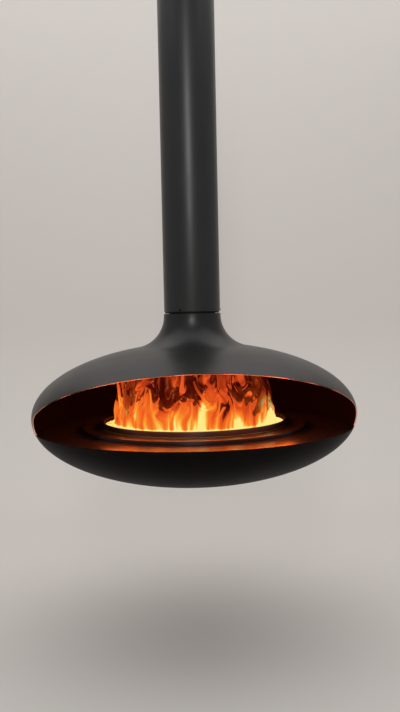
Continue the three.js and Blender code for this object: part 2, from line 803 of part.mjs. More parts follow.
/** The side of the ash pan, hung by its rim in the tray's hole. */
function ashPan() {
  const inner = panRadius - PAN_WALL;
  return revolved(
    [
      [inner, panFloorZ],
      [panRadius, panFloorZ],
      [panRadius, panRimZ],
      [panRimRadius, panRimZ],
      [panRimRadius, panRimZ + PAN_RIM_THICKNESS],
      [inner, panRimZ + PAN_RIM_THICKNESS],
    ],
    FLUE_SEGMENTS,
  );
}

/** The disc that is welded into the foot of the ash pan's side. */
function ashPanFloor() {
  const radius = acrossFlats(panRadius - PAN_WALL, FLUE_SEGMENTS) - CLEARANCE;
  return rod(radius, panFloorZ, panFloorZ + PAN_WALL, FLUE_SEGMENTS);
}

/** The round grate on the pan's rim, with slots across it. */
function grate() {
  const plate = rod(grateRadius, grateZ, grateZ + GRATE_THICKNESS, FLUE_SEGMENTS);
  const slots = Array.from({ length: GRATE_SLOT_COUNT }, (_, index) => {
    const x = (index - (GRATE_SLOT_COUNT - 1) / 2) * GRATE_SLOT_PITCH;
    const half = Math.sqrt((grateRadius - GRATE_BORDER) ** 2 - x ** 2);
    return new THREE.BoxGeometry(GRATE_SLOT_WIDTH, 2 * half, 3 * GRATE_THICKNESS).translate(
      x,
      0,
      grateZ,
    );
  });
  return cut(plate, ...slots);
}

// ---- Smoke damper ----

/** The throat under the seal: a plate that meets the fillet, and a tube with the damper. */
function smokeCollar() {
  const plateRadius = acrossFlats(
    radiusOn(hoodInside, swivelAboveEquator + collarTopZ),
    SHELL_SEGMENTS,
  );
  const plateFoot = collarTopZ - COLLAR_PLATE;
  const collar = revolved(
    [
      [collarBore, shaftZ - COLLAR_BELOW_SHAFT],
      [collarOuter, shaftZ - COLLAR_BELOW_SHAFT],
      [collarOuter, plateFoot],
      [plateRadius - CLEARANCE, plateFoot],
      [plateRadius - CLEARANCE, collarTopZ],
      [collarBore, collarTopZ],
    ],
    FLUE_SEGMENTS,
  );
  const bushHole = rod(SHAFT_RADIUS + BUSH_WALL + 2 * CLEARANCE, -2 * collarOuter, 2 * collarOuter);
  return cut(collar, aimed(bushHole, BACKWARD, new THREE.Vector3(0, 0, shaftZ)));
}

/** A flanged bush along Z, its flange's inner face at zero, its sleeve below. */
function damperBush() {
  const bore = SHAFT_RADIUS + CLEARANCE;
  const sleeve = bore + BUSH_WALL;
  return revolved(
    [
      [bore, -COLLAR_WALL - CLEARANCE - BUSH_INSET],
      [sleeve, -COLLAR_WALL - CLEARANCE - BUSH_INSET],
      [sleeve, 0],
      [sleeve + BUSH_FLANGE_WIDTH, 0],
      [sleeve + BUSH_FLANGE_WIDTH, BUSH_FLANGE_THICKNESS],
      [bore, BUSH_FLANGE_THICKNESS],
    ],
    SMALL_SEGMENTS,
  );
}

const discRadius = collarBore - BUSH_INSET - DISC_EDGE_GAP;
const bushFace = collarOuter + CLEARANCE;
const clipFace = bushFace + BUSH_FLANGE_THICKNESS + CLEARANCE;
const leverFace = collarOuter + LEVER_REACH;
const shaftBack = clipFace + 2 * CLIP_THICKNESS;
const discScrewPlaces = { front: -DISC_SCREW_SPACING / 2, rear: DISC_SCREW_SPACING / 2 };

/** The damper's shaft along Y, with a flat for the disc and bores for its screws. */
function damperShaft() {
  const round = aimed(rod(SHAFT_RADIUS, -leverFace, shaftBack), BACKWARD);
  const flat = new THREE.BoxGeometry(
    2 * SHAFT_RADIUS,
    2 * (discRadius + CLEARANCE),
    3 * SHAFT_RADIUS,
  ).translate(SHAFT_RADIUS, 0, 0);
  const discScrewHoles = Object.values(discScrewPlaces).map((y) =>
    aimed(
      rod(DISC_SCREW_RADIUS + CLEARANCE, -SHAFT_RADIUS * 0.7, SHAFT_RADIUS),
      RIGHT,
      new THREE.Vector3(0, y, 0),
    ),
  );
  const leverScrewHole = aimed(
    rod(LEVER_SCREW_RADIUS + CLEARANCE, -LEVER_SCREW_DEPTH - CLEARANCE, SHAFT_RADIUS),
    FORWARD,
    new THREE.Vector3(0, -leverFace, 0),
  );
  return cut(round, flat, leverScrewHole, ...discScrewHoles);
}

/** The damper's disc, upright and edge-on when open. */
function damperDisc() {
  const disc = aimed(rod(discRadius, CLEARANCE, CLEARANCE + DISC_THICKNESS, FLUE_SEGMENTS), RIGHT);
  const holes = Object.values(discScrewPlaces).map((y) =>
    aimed(
      rod(DISC_SCREW_RADIUS + CLEARANCE, -SHAFT_RADIUS, 2 * SHAFT_RADIUS),
      RIGHT,
      new THREE.Vector3(0, y, 0),
    ),
  );
  return cut(disc, ...holes);
}

/** A screw that holds the disc to the shaft. */
function discScrew() {
  const shank = DISC_THICKNESS + 2 * CLEARANCE + SHAFT_RADIUS * 0.6;
  return screw(DISC_SCREW_RADIUS, shank, DISC_SCREW_HEAD_RADIUS, DISC_SCREW_HEAD_HEIGHT);
}

/** A clip round the shaft, against a bush. */
function shaftClip() {
  const bore = SHAFT_RADIUS + CLEARANCE;
  return ring(bore, bore + CLIP_WIDTH, 0, CLIP_THICKNESS, SMALL_SEGMENTS);
}

/** The lever: a boss round the shaft's front end and a rod hanging from it. */
function damperLever() {
  const bore = SHAFT_RADIUS + CLEARANCE;
  const boss = aimed(
    ring(bore, bore + LEVER_BOSS_WIDTH, 0, LEVER_BOSS_LENGTH, SMALL_SEGMENTS),
    BACKWARD,
    new THREE.Vector3(0, -leverFace, 0),
  );
  const hanging = rod(LEVER_ROD_RADIUS, -LEVER_ROD_LENGTH, -bore - LEVER_BOSS_WIDTH / 2);
  return joined(boss, hanging.translate(0, -leverFace + LEVER_BOSS_LENGTH / 2, 0));
}

/** The screw in the shaft's end that keeps the lever on. */
function leverScrew() {
  const head = SHAFT_RADIUS + LEVER_BOSS_WIDTH / 2;
  return screw(LEVER_SCREW_RADIUS, LEVER_SCREW_DEPTH, head, LEVER_SCREW_RADIUS);
}

/** The knob pushed on the lever's rod, barrel-shaped, bored from its top. */
function damperKnob() {
  const bore = LEVER_ROD_RADIUS + CLEARANCE;
  const top = KNOB_BORE_DEPTH;
  const foot = top - KNOB_LENGTH;
  const narrow = KNOB_RADIUS * 0.75;
  return revolved(
    [
      [0, foot],
      [narrow, foot],
      [KNOB_RADIUS, foot + KNOB_LENGTH * 0.25],
      [KNOB_RADIUS, foot + KNOB_LENGTH * 0.7],
      [narrow, top],
      [bore, top],
      [bore, 0],
      [0, 0],
    ],
    SMALL_SEGMENTS,
  );
}

// ---- Assembly ----

/** The ceiling fixing and the flue, about the ceiling plane. */
function addFlue(parent) {
  const group = level("flue", 0, parent);
  piece(group, "ceiling_plate", ceilingPlate(), plainSteel);
  piece(group, "tube_flange", tubeFlange(), plainSteel);
  flangeBoltPlaces().forEach((place, index) => {
    placed(piece(group, `flange_bolt_${index + 1}`, flangeBolt().rotateX(Math.PI), plainSteel), place);
  });
  piece(group, "rosette", rosette(), blackPaint);
  piece(group, "rosette_collar", rosetteCollar(), blackPaint);
  placed(
    piece(group, "rosette_screw", rosetteScrew(), plainSteel),
    new THREE.Vector3(0, TUBE_RADIUS, rosetteScrewZ()),
    BACKWARD,
  );
  piece(group, "carrying_tube", carryingTube(), blackPaint);
  piece(group, "smoke_liner", smokeLiner(), stainlessSteel);
  for (const [name, share] of Object.entries(SPACER_LEVELS)) {
    const spacer = piece(group, `liner_spacer_${name}`, linerSpacer(), plainSteel);
    spacer.position.z = -TUBE_FOOT_DEPTH * share;
  }
  PIPE_SCREW_AZIMUTHS.forEach((azimuth, index) => {
    placed(
      piece(group, `pipe_screw_${index + 1}`, pipeScrew(), stainlessSteel),
      polar(TUBE_RADIUS + CLEARANCE, azimuth, tubeFootZ + PIPE_SCREW_RISE),
      polar(1, azimuth),
    );
  });
}

/** The swivel, about the centres of its balls. */
function addSwivel(parent) {
  const group = level("swivel", ballZ, parent);
  piece(group, "swivel_hub", swivelHub(), plainSteel);
  piece(group, "bearing_nut", bearingNut(), plainSteel);
  piece(group, "lower_race", lowerRace(), plainSteel);
  piece(group, "ball_cage", ballCage(), bronze);
  ballAzimuths().forEach((azimuth, index) => {
    const number = String(index + 1).padStart(2, "0");
    placed(
      piece(group, `bearing_ball_${number}`, bearingBall(), stainlessSteel),
      polar(ballPitch, azimuth),
    );
  });
  piece(group, "upper_race", upperRace(), plainSteel);
  piece(group, "neck_ring", neckRing(), plainSteel);
  piece(group, "smoke_seal", smokeSeal(), fibreRope);
  piece(group, "smoke_collar", smokeCollar(), blackPaint);
}

/** The damper, about its shaft. */
function addDamper(parent) {
  const group = level("damper", ballZ + shaftZ, parent);
  const ends = { front: FORWARD, rear: BACKWARD };
  piece(group, "damper_shaft", damperShaft(), stainlessSteel);
  piece(group, "damper_disc", damperDisc(), castIron);
  for (const [name, y] of Object.entries(discScrewPlaces)) {
    placed(
      piece(group, `disc_screw_${name}`, discScrew(), stainlessSteel),
      new THREE.Vector3(2 * CLEARANCE + DISC_THICKNESS, y, 0),
      RIGHT,
    );
  }
  for (const [name, direction] of Object.entries(ends)) {
    placed(
      piece(group, `damper_bush_${name}`, damperBush(), bronze),
      direction.clone().multiplyScalar(bushFace),
      direction,
    );
    placed(
      piece(group, `shaft_clip_${name}`, shaftClip(), plainSteel),
      direction.clone().multiplyScalar(clipFace),
      direction,
    );
  }
  piece(group, "damper_lever", damperLever(), blackPaint);
  placed(
    piece(group, "lever_screw", leverScrew(), stainlessSteel),
    new THREE.Vector3(0, -leverFace - CLEARANCE, 0),
    FORWARD,
  );
  const knobPlace = new THREE.Vector3(
    0,
    -leverFace + LEVER_BOSS_LENGTH / 2,
    -LEVER_ROD_LENGTH - CLEARANCE,
  );
  placed(piece(group, "damper_knob", damperKnob(), blackPaint), knobPlace);
}

/** The hearth and its fire bed, about the equator. */
function addHearth(parent) {
  const group = level("hearth", equatorZ, parent);
  piece(group, "hood", hood(), blackPaint);
  piece(group, "bowl", bowl(), blackPaint);
  piece(group, "hearth_deck", hearthDeck(), blackPaint);
  azimuths(BRACKET_COUNT, Math.PI / BRACKET_COUNT).forEach((azimuth, index) => {
    const bracket = piece(group, `deck_bracket_${index + 1}`, deckBracket(), plainSteel);
    bracket.rotation.z = azimuth;
  });
  piece(group, "fire_tray", fireTray(), blackPaint);
  piece(group, "fire_ring", fireRing(), blackPaint);
  azimuths(BRICK_COUNT).forEach((azimuth, index) => {
    const fireBrickMesh = piece(group, `fire_brick_${index + 1}`, brick(), fireBrick);
    fireBrickMesh.rotation.z = azimuth;
  });
  piece(group, "ash_pan", ashPan(), plainSteel);
  piece(group, "ash_pan_floor", ashPanFloor(), plainSteel);
  piece(group, "grate", grate(), castIron);
}

const fireplace = new THREE.Group();
fireplace.name = "hanging_fireplace";
addFlue(fireplace);
addSwivel(fireplace);
addDamper(fireplace);
addHearth(fireplace);

export default fireplace;
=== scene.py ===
"""Looks of a hanging fireplace: black painted shells, satin fire bed, steelwork and a wood fire.

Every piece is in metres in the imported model's frame: the origin is on the flue's axis in the
plane of the ceiling, +Z is up and the mouth faces -Y.
"""

from __future__ import annotations

import json
import logging
import math
from dataclasses import dataclass, field
from enum import Enum
from typing import Sequence, Union

import bmesh
import bpy
import numpy as np
from mathutils import Matrix, Vector, noise

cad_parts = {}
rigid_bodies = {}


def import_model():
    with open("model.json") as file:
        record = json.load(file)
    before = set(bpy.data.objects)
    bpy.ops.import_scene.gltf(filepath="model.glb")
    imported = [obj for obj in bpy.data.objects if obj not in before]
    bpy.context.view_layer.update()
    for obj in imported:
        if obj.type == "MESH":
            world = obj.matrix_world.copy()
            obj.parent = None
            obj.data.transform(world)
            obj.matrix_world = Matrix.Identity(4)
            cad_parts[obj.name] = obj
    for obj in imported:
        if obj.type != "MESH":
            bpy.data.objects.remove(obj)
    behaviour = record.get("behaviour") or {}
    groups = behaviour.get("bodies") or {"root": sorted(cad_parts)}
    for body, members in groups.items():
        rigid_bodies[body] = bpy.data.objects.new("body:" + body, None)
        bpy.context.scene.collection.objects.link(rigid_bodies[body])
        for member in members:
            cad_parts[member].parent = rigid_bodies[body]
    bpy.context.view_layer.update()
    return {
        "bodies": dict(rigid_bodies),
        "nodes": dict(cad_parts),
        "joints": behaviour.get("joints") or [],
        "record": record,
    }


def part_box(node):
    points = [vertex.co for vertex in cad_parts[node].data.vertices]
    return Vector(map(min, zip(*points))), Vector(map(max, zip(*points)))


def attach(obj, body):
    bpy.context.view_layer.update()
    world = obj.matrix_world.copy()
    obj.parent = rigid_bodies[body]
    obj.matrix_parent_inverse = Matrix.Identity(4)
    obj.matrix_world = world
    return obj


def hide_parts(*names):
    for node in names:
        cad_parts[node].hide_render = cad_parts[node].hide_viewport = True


LOG = logging.getLogger("hanging_fireplace")
MM = 0.001

Profile = list[tuple[float, float]]
Number = Union[float, "Value"]


# ---------------------------------------------------------------------------- shader maths


@dataclass(frozen=True)
class Value:
    """A number that varies over a surface: an output socket that takes part in arithmetic."""

    bench: "Bench"
    socket: bpy.types.NodeSocket

    def _math(self, operation: str, *operands: Number) -> "Value":
        """Adds a Math node for one operation."""
        inputs = {i: v for i, v in enumerate(operands)}
        return self.bench.value("ShaderNodeMath", {"operation": operation}, inputs)

    def __add__(self, other: Number) -> "Value":
        """self + other."""
        return self._math("ADD", self, other)

    def __radd__(self, other: Number) -> "Value":
        """other + self."""
        return self._math("ADD", other, self)

    def __sub__(self, other: Number) -> "Value":
        """self - other."""
        return self._math("SUBTRACT", self, other)

    def __rsub__(self, other: Number) -> "Value":
        """other - self."""
        return self._math("SUBTRACT", other, self)

    def __mul__(self, other: Number) -> "Value":
        """self * other."""
        return self._math("MULTIPLY", self, other)

    def __rmul__(self, other: Number) -> "Value":
        """other * self."""
        return self._math("MULTIPLY", other, self)

    def __truediv__(self, other: Number) -> "Value":
        """self / other."""
        return self._math("DIVIDE", self, other)

    def __pow__(self, other: Number) -> "Value":
        """self to the power of other."""
        return self._math("POWER", self, other)

    def __abs__(self) -> "Value":
        """The value without its sign."""
        return self._math("ABSOLUTE", self)

    def lowest(self, other: Number) -> "Value":
        """The lower of two values."""
        return self._math("MINIMUM", self, other)

    def highest(self, other: Number) -> "Value":
        """The higher of two values."""
        return self._math("MAXIMUM", self, other)

    def step(self, low: Number, high: Number) -> "Value":
        """A smooth step from 0 at low to 1 at high.

        Args:
            low: The value at which the step starts.
            high: The value at which it ends.

        Returns:
            The step, between 0 and 1.
        """
        settings = {"interpolation_type": "SMOOTHSTEP"}
        inputs = {"Value": self, "From Min": low, "From Max": high, "To Min": 0.0, "To Max": 1.0}
        return self.bench.value("ShaderNodeMapRange", settings, inputs)

    def scaled(self, low: float, high: float) -> "Value":
        """A value of 0 to 1 brought to another range."""
        return self * (high - low) + low


class Bench:
    """Builds one material's node tree."""

    def __init__(self, name: str) -> None:
        """Starts an empty material with its shader and output."""
        self.material = bpy.data.materials.new(name)
        self.material.use_nodes = True
        self.tree = self.material.node_tree
        self.tree.nodes.clear()
        self.shader = self.node("ShaderNodeBsdfPrincipled", {}, {})
        surface = {"Surface": self.shader.outputs["BSDF"]}
        self.output = self.node("ShaderNodeOutputMaterial", {}, surface)

    def node(self, kind: str, settings: dict, inputs: dict) -> bpy.types.Node:
        """Adds a node.

        Args:
            kind: The node's type.
            settings: Its properties, set first. A list under "stops" fills a colour ramp.
            inputs: Values or links of its sockets, by name or index.

        Returns:
            The node.
        """
        made = self.tree.nodes.new(kind)
        for key, setting in settings.items():
            if key == "stops":
                self._fill_ramp(made.color_ramp, setting)
            else:
                setattr(made, key, setting)
        for key, given in inputs.items():
            self.feed(made.inputs[key], given)
        return made

    @staticmethod
    def _fill_ramp(ramp: bpy.types.ColorRamp, stops: Sequence[tuple[float, tuple]]) -> None:
        """Gives a colour ramp its stops."""
        while len(ramp.elements) < len(stops):
            ramp.elements.new(1.0)
        for element, (position, colour) in zip(ramp.elements, stops):
            element.position = position
            element.color = (*colour, 1.0)

    def feed(self, socket: bpy.types.NodeSocket, given: object) -> None:
        """Links a socket, or sets its own value."""
        if isinstance(given, Value):
            self.tree.links.new(given.socket, socket)
        elif isinstance(given, bpy.types.NodeSocket):
            self.tree.links.new(given, socket)
        elif isinstance(given, tuple) and len(given) == 3 and len(socket.default_value) == 4:
            socket.default_value = (*given, 1.0)
        else:
            socket.default_value = given

    def value(self, kind: str, settings: dict, inputs: dict, output: int | str = 0) -> Value:
        """Adds a node and returns one of its outputs as a value."""
        return Value(self, self.node(kind, settings, inputs).outputs[output])

    def place(self) -> bpy.types.NodeSocket:
        """The point's place in the object's own coordinates."""
        return self.node("ShaderNodeTexCoord", {}, {}).outputs["Object"]

    def split(self, vector: bpy.types.NodeSocket) -> tuple[Value, Value, Value]:
        """The three parts of a vector."""
        parts = self.node("ShaderNodeSeparateXYZ", {}, {0: vector}).outputs
        return Value(self, parts[0]), Value(self, parts[1]), Value(self, parts[2])

    def joined(self, x: Number, y: Number, z: Number) -> bpy.types.NodeSocket:
        """A vector from its three parts."""
        return self.node("ShaderNodeCombineXYZ", {}, {0: x, 1: y, 2: z}).outputs[0]

    def attribute(self, name: str) -> Value:
        """A number that the mesh holds at each of its points."""
        settings = {"attribute_name": name}
        return self.value("ShaderNodeAttribute", settings, {}, "Fac")

    def noise(
        self,
        vector: bpy.types.NodeSocket,
        scale: float,
        detail: float = 2.0,
        roughness: float = 0.5,
        distortion: float = 0.0,
    ) -> Value:
        """Noise about 0.5."""
        inputs = {
            "Vector": vector,
            "Scale": scale,
            "Detail": detail,
            "Roughness": roughness,
            "Distortion": distortion,
        }
        return self.value("ShaderNodeTexNoise", {}, inputs, "Fac")

    def stretched(
        self, vector: bpy.types.NodeSocket, scale: tuple[float, float, float]
    ) -> bpy.types.NodeSocket:
        """A vector multiplied part by part."""
        settings = {"operation": "MULTIPLY"}
        return self.node("ShaderNodeVectorMath", settings, {0: vector, 1: scale}).outputs[0]

    def ramp(self, factor: Number, stops: Sequence[tuple[float, tuple]]) -> bpy.types.NodeSocket:
        """A colour ramp over a value."""
        return self.node("ShaderNodeValToRGB", {"stops": stops}, {0: factor}).outputs["Color"]

    def mixed(self, factor: Number, low: object, high: object) -> bpy.types.NodeSocket:
        """A mix of two colours, or of links that carry them."""
        made = self.node("ShaderNodeMix", {"data_type": "RGBA"}, {0: factor, 6: low, 7: high})
        return made.outputs[2]

    def bump(self, height: Value, strength: float, distance: float) -> None:
        """Feeds the shader's normal from a height."""
        inputs = {"Strength": strength, "Distance": distance, "Height": height}
        made = self.node("ShaderNodeBump", {}, inputs)
        self.feed(self.shader.inputs["Normal"], made.outputs["Normal"])

    def covered(self, share: Value, **inputs: object) -> None:
        """Covers part of the surface with a second shader.

        Args:
            share: How much of the second shader shows.
            inputs: The second shader's sockets, named with underscores.
        """
        cover = self.node("ShaderNodeBsdfPrincipled", {}, {})
        for key, given in inputs.items():
            self.feed(cover.inputs[key.replace("_", " ")], given)
        layers = {0: share, 1: self.shader.outputs["BSDF"], 2: cover.outputs["BSDF"]}
        mix = self.node("ShaderNodeMixShader", {}, layers)
        self.feed(self.output.inputs["Surface"], mix.outputs[0])

    def finish(self, **inputs: object) -> bpy.types.Material:
        """Feeds the shader's sockets, named with underscores, and returns the material."""
        for key, given in inputs.items():
            self.feed(self.shader.inputs[key.replace("_", " ")], given)
        return self.material


# -------------------------------------------------------------------------------- finishes


@dataclass(frozen=True)
class HeatproofPaint:
    """Matt black heat-proof paint with a fine orange peel and faint handling marks.

    On a shell its depth attribute runs from 0 on the outer face to 1 on the inner one, which
    is covered with soot, and the rim between the two is worn and painted with a warm pale
    highlight that stands in for the fire's light on it.
    """

    name: str
    shade: tuple[float, float, float] = (0.0075, 0.0070, 0.0066)
    gloss: float = 0.40
    # The rim's colour is partly wear and partly a painted highlight of the firelight on the mouth's
    # edge.
    rim_wear_and_highlight: tuple[float, float, float] = (0.80, 0.46, 0.36)
    soot: tuple[float, float, float] = (0.0013, 0.0005, 0.0004)
    roughness: float = 0.37
    mottle: float = 0.20
    peel_scale: float = 800.0
    cloud_scale: float = 7.0

    def made(self) -> bpy.types.Material:
        """Builds the material.

        Returns:
            The paint.
        """
        bench = Bench(self.name)
        place = bench.place()
        clouds = bench.noise(place, self.cloud_scale, 3.0)
        speckle = bench.noise(place, self.peel_scale * 0.4, 1.0)
        tone = (clouds - 0.5) * self.mottle * 2.0 + (speckle - 0.5) * 0.5
        dark = tuple(part * 0.65 for part in self.shade)
        light = tuple(part * 1.35 for part in self.shade)
        depth = bench.attribute("depth")
        rim = depth.step(0.06, 0.3) * (1.0 - depth.step(0.8, 0.96))
        colour = bench.mixed(tone.step(-0.3, 0.3), dark, light)
        # The rim gets a painted highlight: its warm pale colour stands in for the fire's light on
        # it, besides the wear.
        colour = bench.mixed(rim, colour, self.rim_wear_and_highlight)
        rough = self.roughness + (clouds - 0.5) * 0.16 + (speckle - 0.5) * 0.10
        bench.bump(bench.noise(place, self.peel_scale, 2.0), 0.10, 0.35 * MM)
        bench.covered(
            depth.step(0.75, 0.95), Base_Color=self.soot, Roughness=1.0, Specular_IOR_Level=0.03
        )
        return bench.finish(Base_Color=colour, Roughness=rough, Specular_IOR_Level=self.gloss)


@dataclass(frozen=True)
class SatinPaint:
    """The fire bed's paint: wiped to a satin in rings, with a film of soot and a warm painted tint
    of firelight.
    """

    name: str
    # The shade's warm tint is a painted reflection of the fire's glow on the black paint.
    shade: tuple[float, float, float] = (0.0085, 0.0050, 0.0040)
    soot: tuple[float, float, float] = (0.0030, 0.0018, 0.0014)
    roughness: float = 0.28

    def made(self) -> bpy.types.Material:
        """Builds the material. A depth attribute of 1 marks the faces that the fire soots.

        Returns:
            The paint.
        """
        bench = Bench(self.name)
        place = bench.place()
        x, y, _ = bench.split(place)
        radius = (x * x + y * y) ** 0.5
        rings = bench.noise(bench.joined(radius * 170.0, x * 2.0, y * 2.0), 1.0, 2.0)
        film = bench.noise(place, 8.0, 4.0, 0.6).step(0.42, 0.75)
        colour = bench.mixed(film * 0.6, self.shade, self.soot)
        rough = rings.scaled(self.roughness - 0.05, self.roughness + 0.07) + film * 0.10
        bench.bump(rings + bench.noise(place, 600.0, 2.0) * 0.5, 0.10, 0.3 * MM)
        sooted = bench.attribute("depth").step(0.3, 0.7)
        bench.covered(sooted, Base_Color=self.soot, Roughness=1.0, Specular_IOR_Level=0.03)
        return bench.finish(Base_Color=colour, Roughness=rough)


class Grain(Enum):
    """The way that a steel's brushing runs, as stretches of the pattern along X, Y and Z."""

    ROUND = (8.0, 8.0, 900.0)
    ALONG = (700.0, 700.0, 10.0)
    NONE = (260.0, 260.0, 260.0)


@dataclass(frozen=True)
class Steel:
    """Plated, brushed or blackened steel with faint heat and handling marks."""

    name: str
    shade: tuple[float, float, float] = (0.42, 0.43, 0.44)
    roughness: float = 0.36
    grain: Grain = Grain.NONE

    def made(self) -> bpy.types.Material:
        """Builds the material.

        Returns:
            The steel.
        """
        bench = Bench(self.name)
        place = bench.place()
        lines = bench.noise(bench.stretched(place, self.grain.value), 1.0, 3.0)
        marks = bench.noise(place, 22.0, 4.0, 0.6)
        warm = tuple(part * factor for part, factor in zip(self.shade, (0.78, 0.70, 0.60)))
        colour = bench.mixed(marks.step(0.50, 0.76) * 0.6, self.shade, warm)
        rough = lines.scaled(self.roughness - 0.08, self.roughness + 0.10)
        bench.bump(lines, 0.12, 0.15 * MM)
        return bench.finish(Base_Color=colour, Roughness=rough, Metallic=1.0)


@dataclass(frozen=True)
class CastIron:
    """Sand-cast iron, pitted, with a breath of rust."""

    name: str
    shade: tuple[float, float, float] = (0.035, 0.033, 0.031)
    rust: tuple[float, float, float] = (0.10, 0.045, 0.022)

    def made(self) -> bpy.types.Material:
        """Builds the material.

        Returns:
            The iron.
        """
        bench = Bench(self.name)
        place = bench.place()
        sand = bench.noise(place, 420.0, 4.0, 0.65)
        patches = bench.noise(place, 18.0, 4.0, 0.6).step(0.50, 0.78)
        colour = bench.mixed(patches * 0.6, self.shade, self.rust)
        bench.bump(sand, 0.45, 0.5 * MM)
        return bench.finish(Base_Color=colour, Roughness=sand.scaled(0.55, 0.85), Metallic=0.35)


@dataclass(frozen=True)
class FireBrick:
    """Pressed refractory brick, speckled, with patches of soot."""

    name: str
    shade: tuple[float, float, float] = (0.30, 0.235, 0.17)
    soot: tuple[float, float, float] = (0.018, 0.015, 0.013)

    def made(self) -> bpy.types.Material:
        """Builds the material.

        Returns:
            The brick.
        """
        bench = Bench(self.name)
        place = bench.place()
        grog = bench.noise(place, 150.0, 3.0, 0.7)
        soot = bench.noise(place, 8.0, 4.0, 0.6).step(0.35, 0.62)
        tone = tuple(part * 0.62 for part in self.shade)
        speckled = bench.mixed(grog.step(0.4, 0.7), self.shade, tone)
        colour = bench.mixed(soot * 0.85, speckled, self.soot)
        bench.bump(grog + bench.noise(place, 900.0, 2.0) * 0.4, 0.5, 0.8 * MM)
        return bench.finish(Base_Color=colour, Roughness=0.95, Specular_IOR_Level=0.2)


@dataclass(frozen=True)
class FibreRope:
    """Twisted ceramic-fibre rope laid round the flue."""

    name: str
    shade: tuple[float, float, float] = (0.50, 0.47, 0.40)
    twists: float = 110.0

    def made(self) -> bpy.types.Material:
        """Builds the material.

        Returns:
            The rope.
        """
        bench = Bench(self.name)
        place = bench.place()
        x, y, z = bench.split(place)
        around = bench.value("ShaderNodeMath", {"operation": "ARCTAN2"}, {0: y, 1: x})
        strand = around * self.twists + z * 700.0
        wave = bench.value("ShaderNodeMath", {"operation": "SINE"}, {0: strand})
        fluff = bench.noise(place, 1600.0, 2.0)
        # The grooves between the strands are painted darker: painted shade in the creases of the
        # twist.
        dark = tuple(part * 0.45 for part in self.shade)
        colour = bench.mixed(wave.step(-0.8, 0.4), dark, self.shade)
        bench.bump(wave * 0.6 + fluff * 0.4, 0.8, 0.8 * MM)
        return bench.finish(Base_Color=colour, Roughness=0.95)


@dataclass(frozen=True)
class GlowingCoal:
    """Charcoal with ash on its faces and fire in its cracks."""

    name: str
    char: tuple[float, float, float] = (0.010, 0.008, 0.007)
    ash: tuple[float, float, float] = (0.20, 0.17, 0.14)
    hotter: float = 0.0
    hot_start: float = 0.26
    hot_full: float = 0.31
    strength: float = 1.3

    def made(self) -> bpy.types.Material:
        """Builds the material.

        Returns:
            The coal.
        """
        bench = Bench(self.name)
        place = bench.place()
        ash = bench.noise(place, 60.0, 3.0).step(0.52, 0.66)
        x, y, _ = bench.split(place)
        outwards = ((x * x + y * y) ** 0.5).step(self.hot_start, self.hot_full)
        heat = bench.noise(place, 34.0, 4.0, 0.7) + outwards * self.hotter
        glow = bench.ramp(
            heat,
            [
                (0.30, (0.03, 0.0, 0.0)),
                (0.42, (0.75, 0.06, 0.004)),
                (0.52, (1.0, 0.24, 0.02)),
                (0.66, (1.0, 0.62, 0.16)),
                (0.80, (1.0, 0.80, 0.35)),
            ],
        )
        colour = bench.mixed(ash * 0.5, self.char, self.ash)
        bench.bump(bench.noise(place, 240.0, 4.0, 0.7), 0.7, 1.5 * MM)
        return bench.finish(
            Base_Color=colour,
            Roughness=0.95,
            Emission_Color=glow,
            Emission_Strength=self.strength,
        )


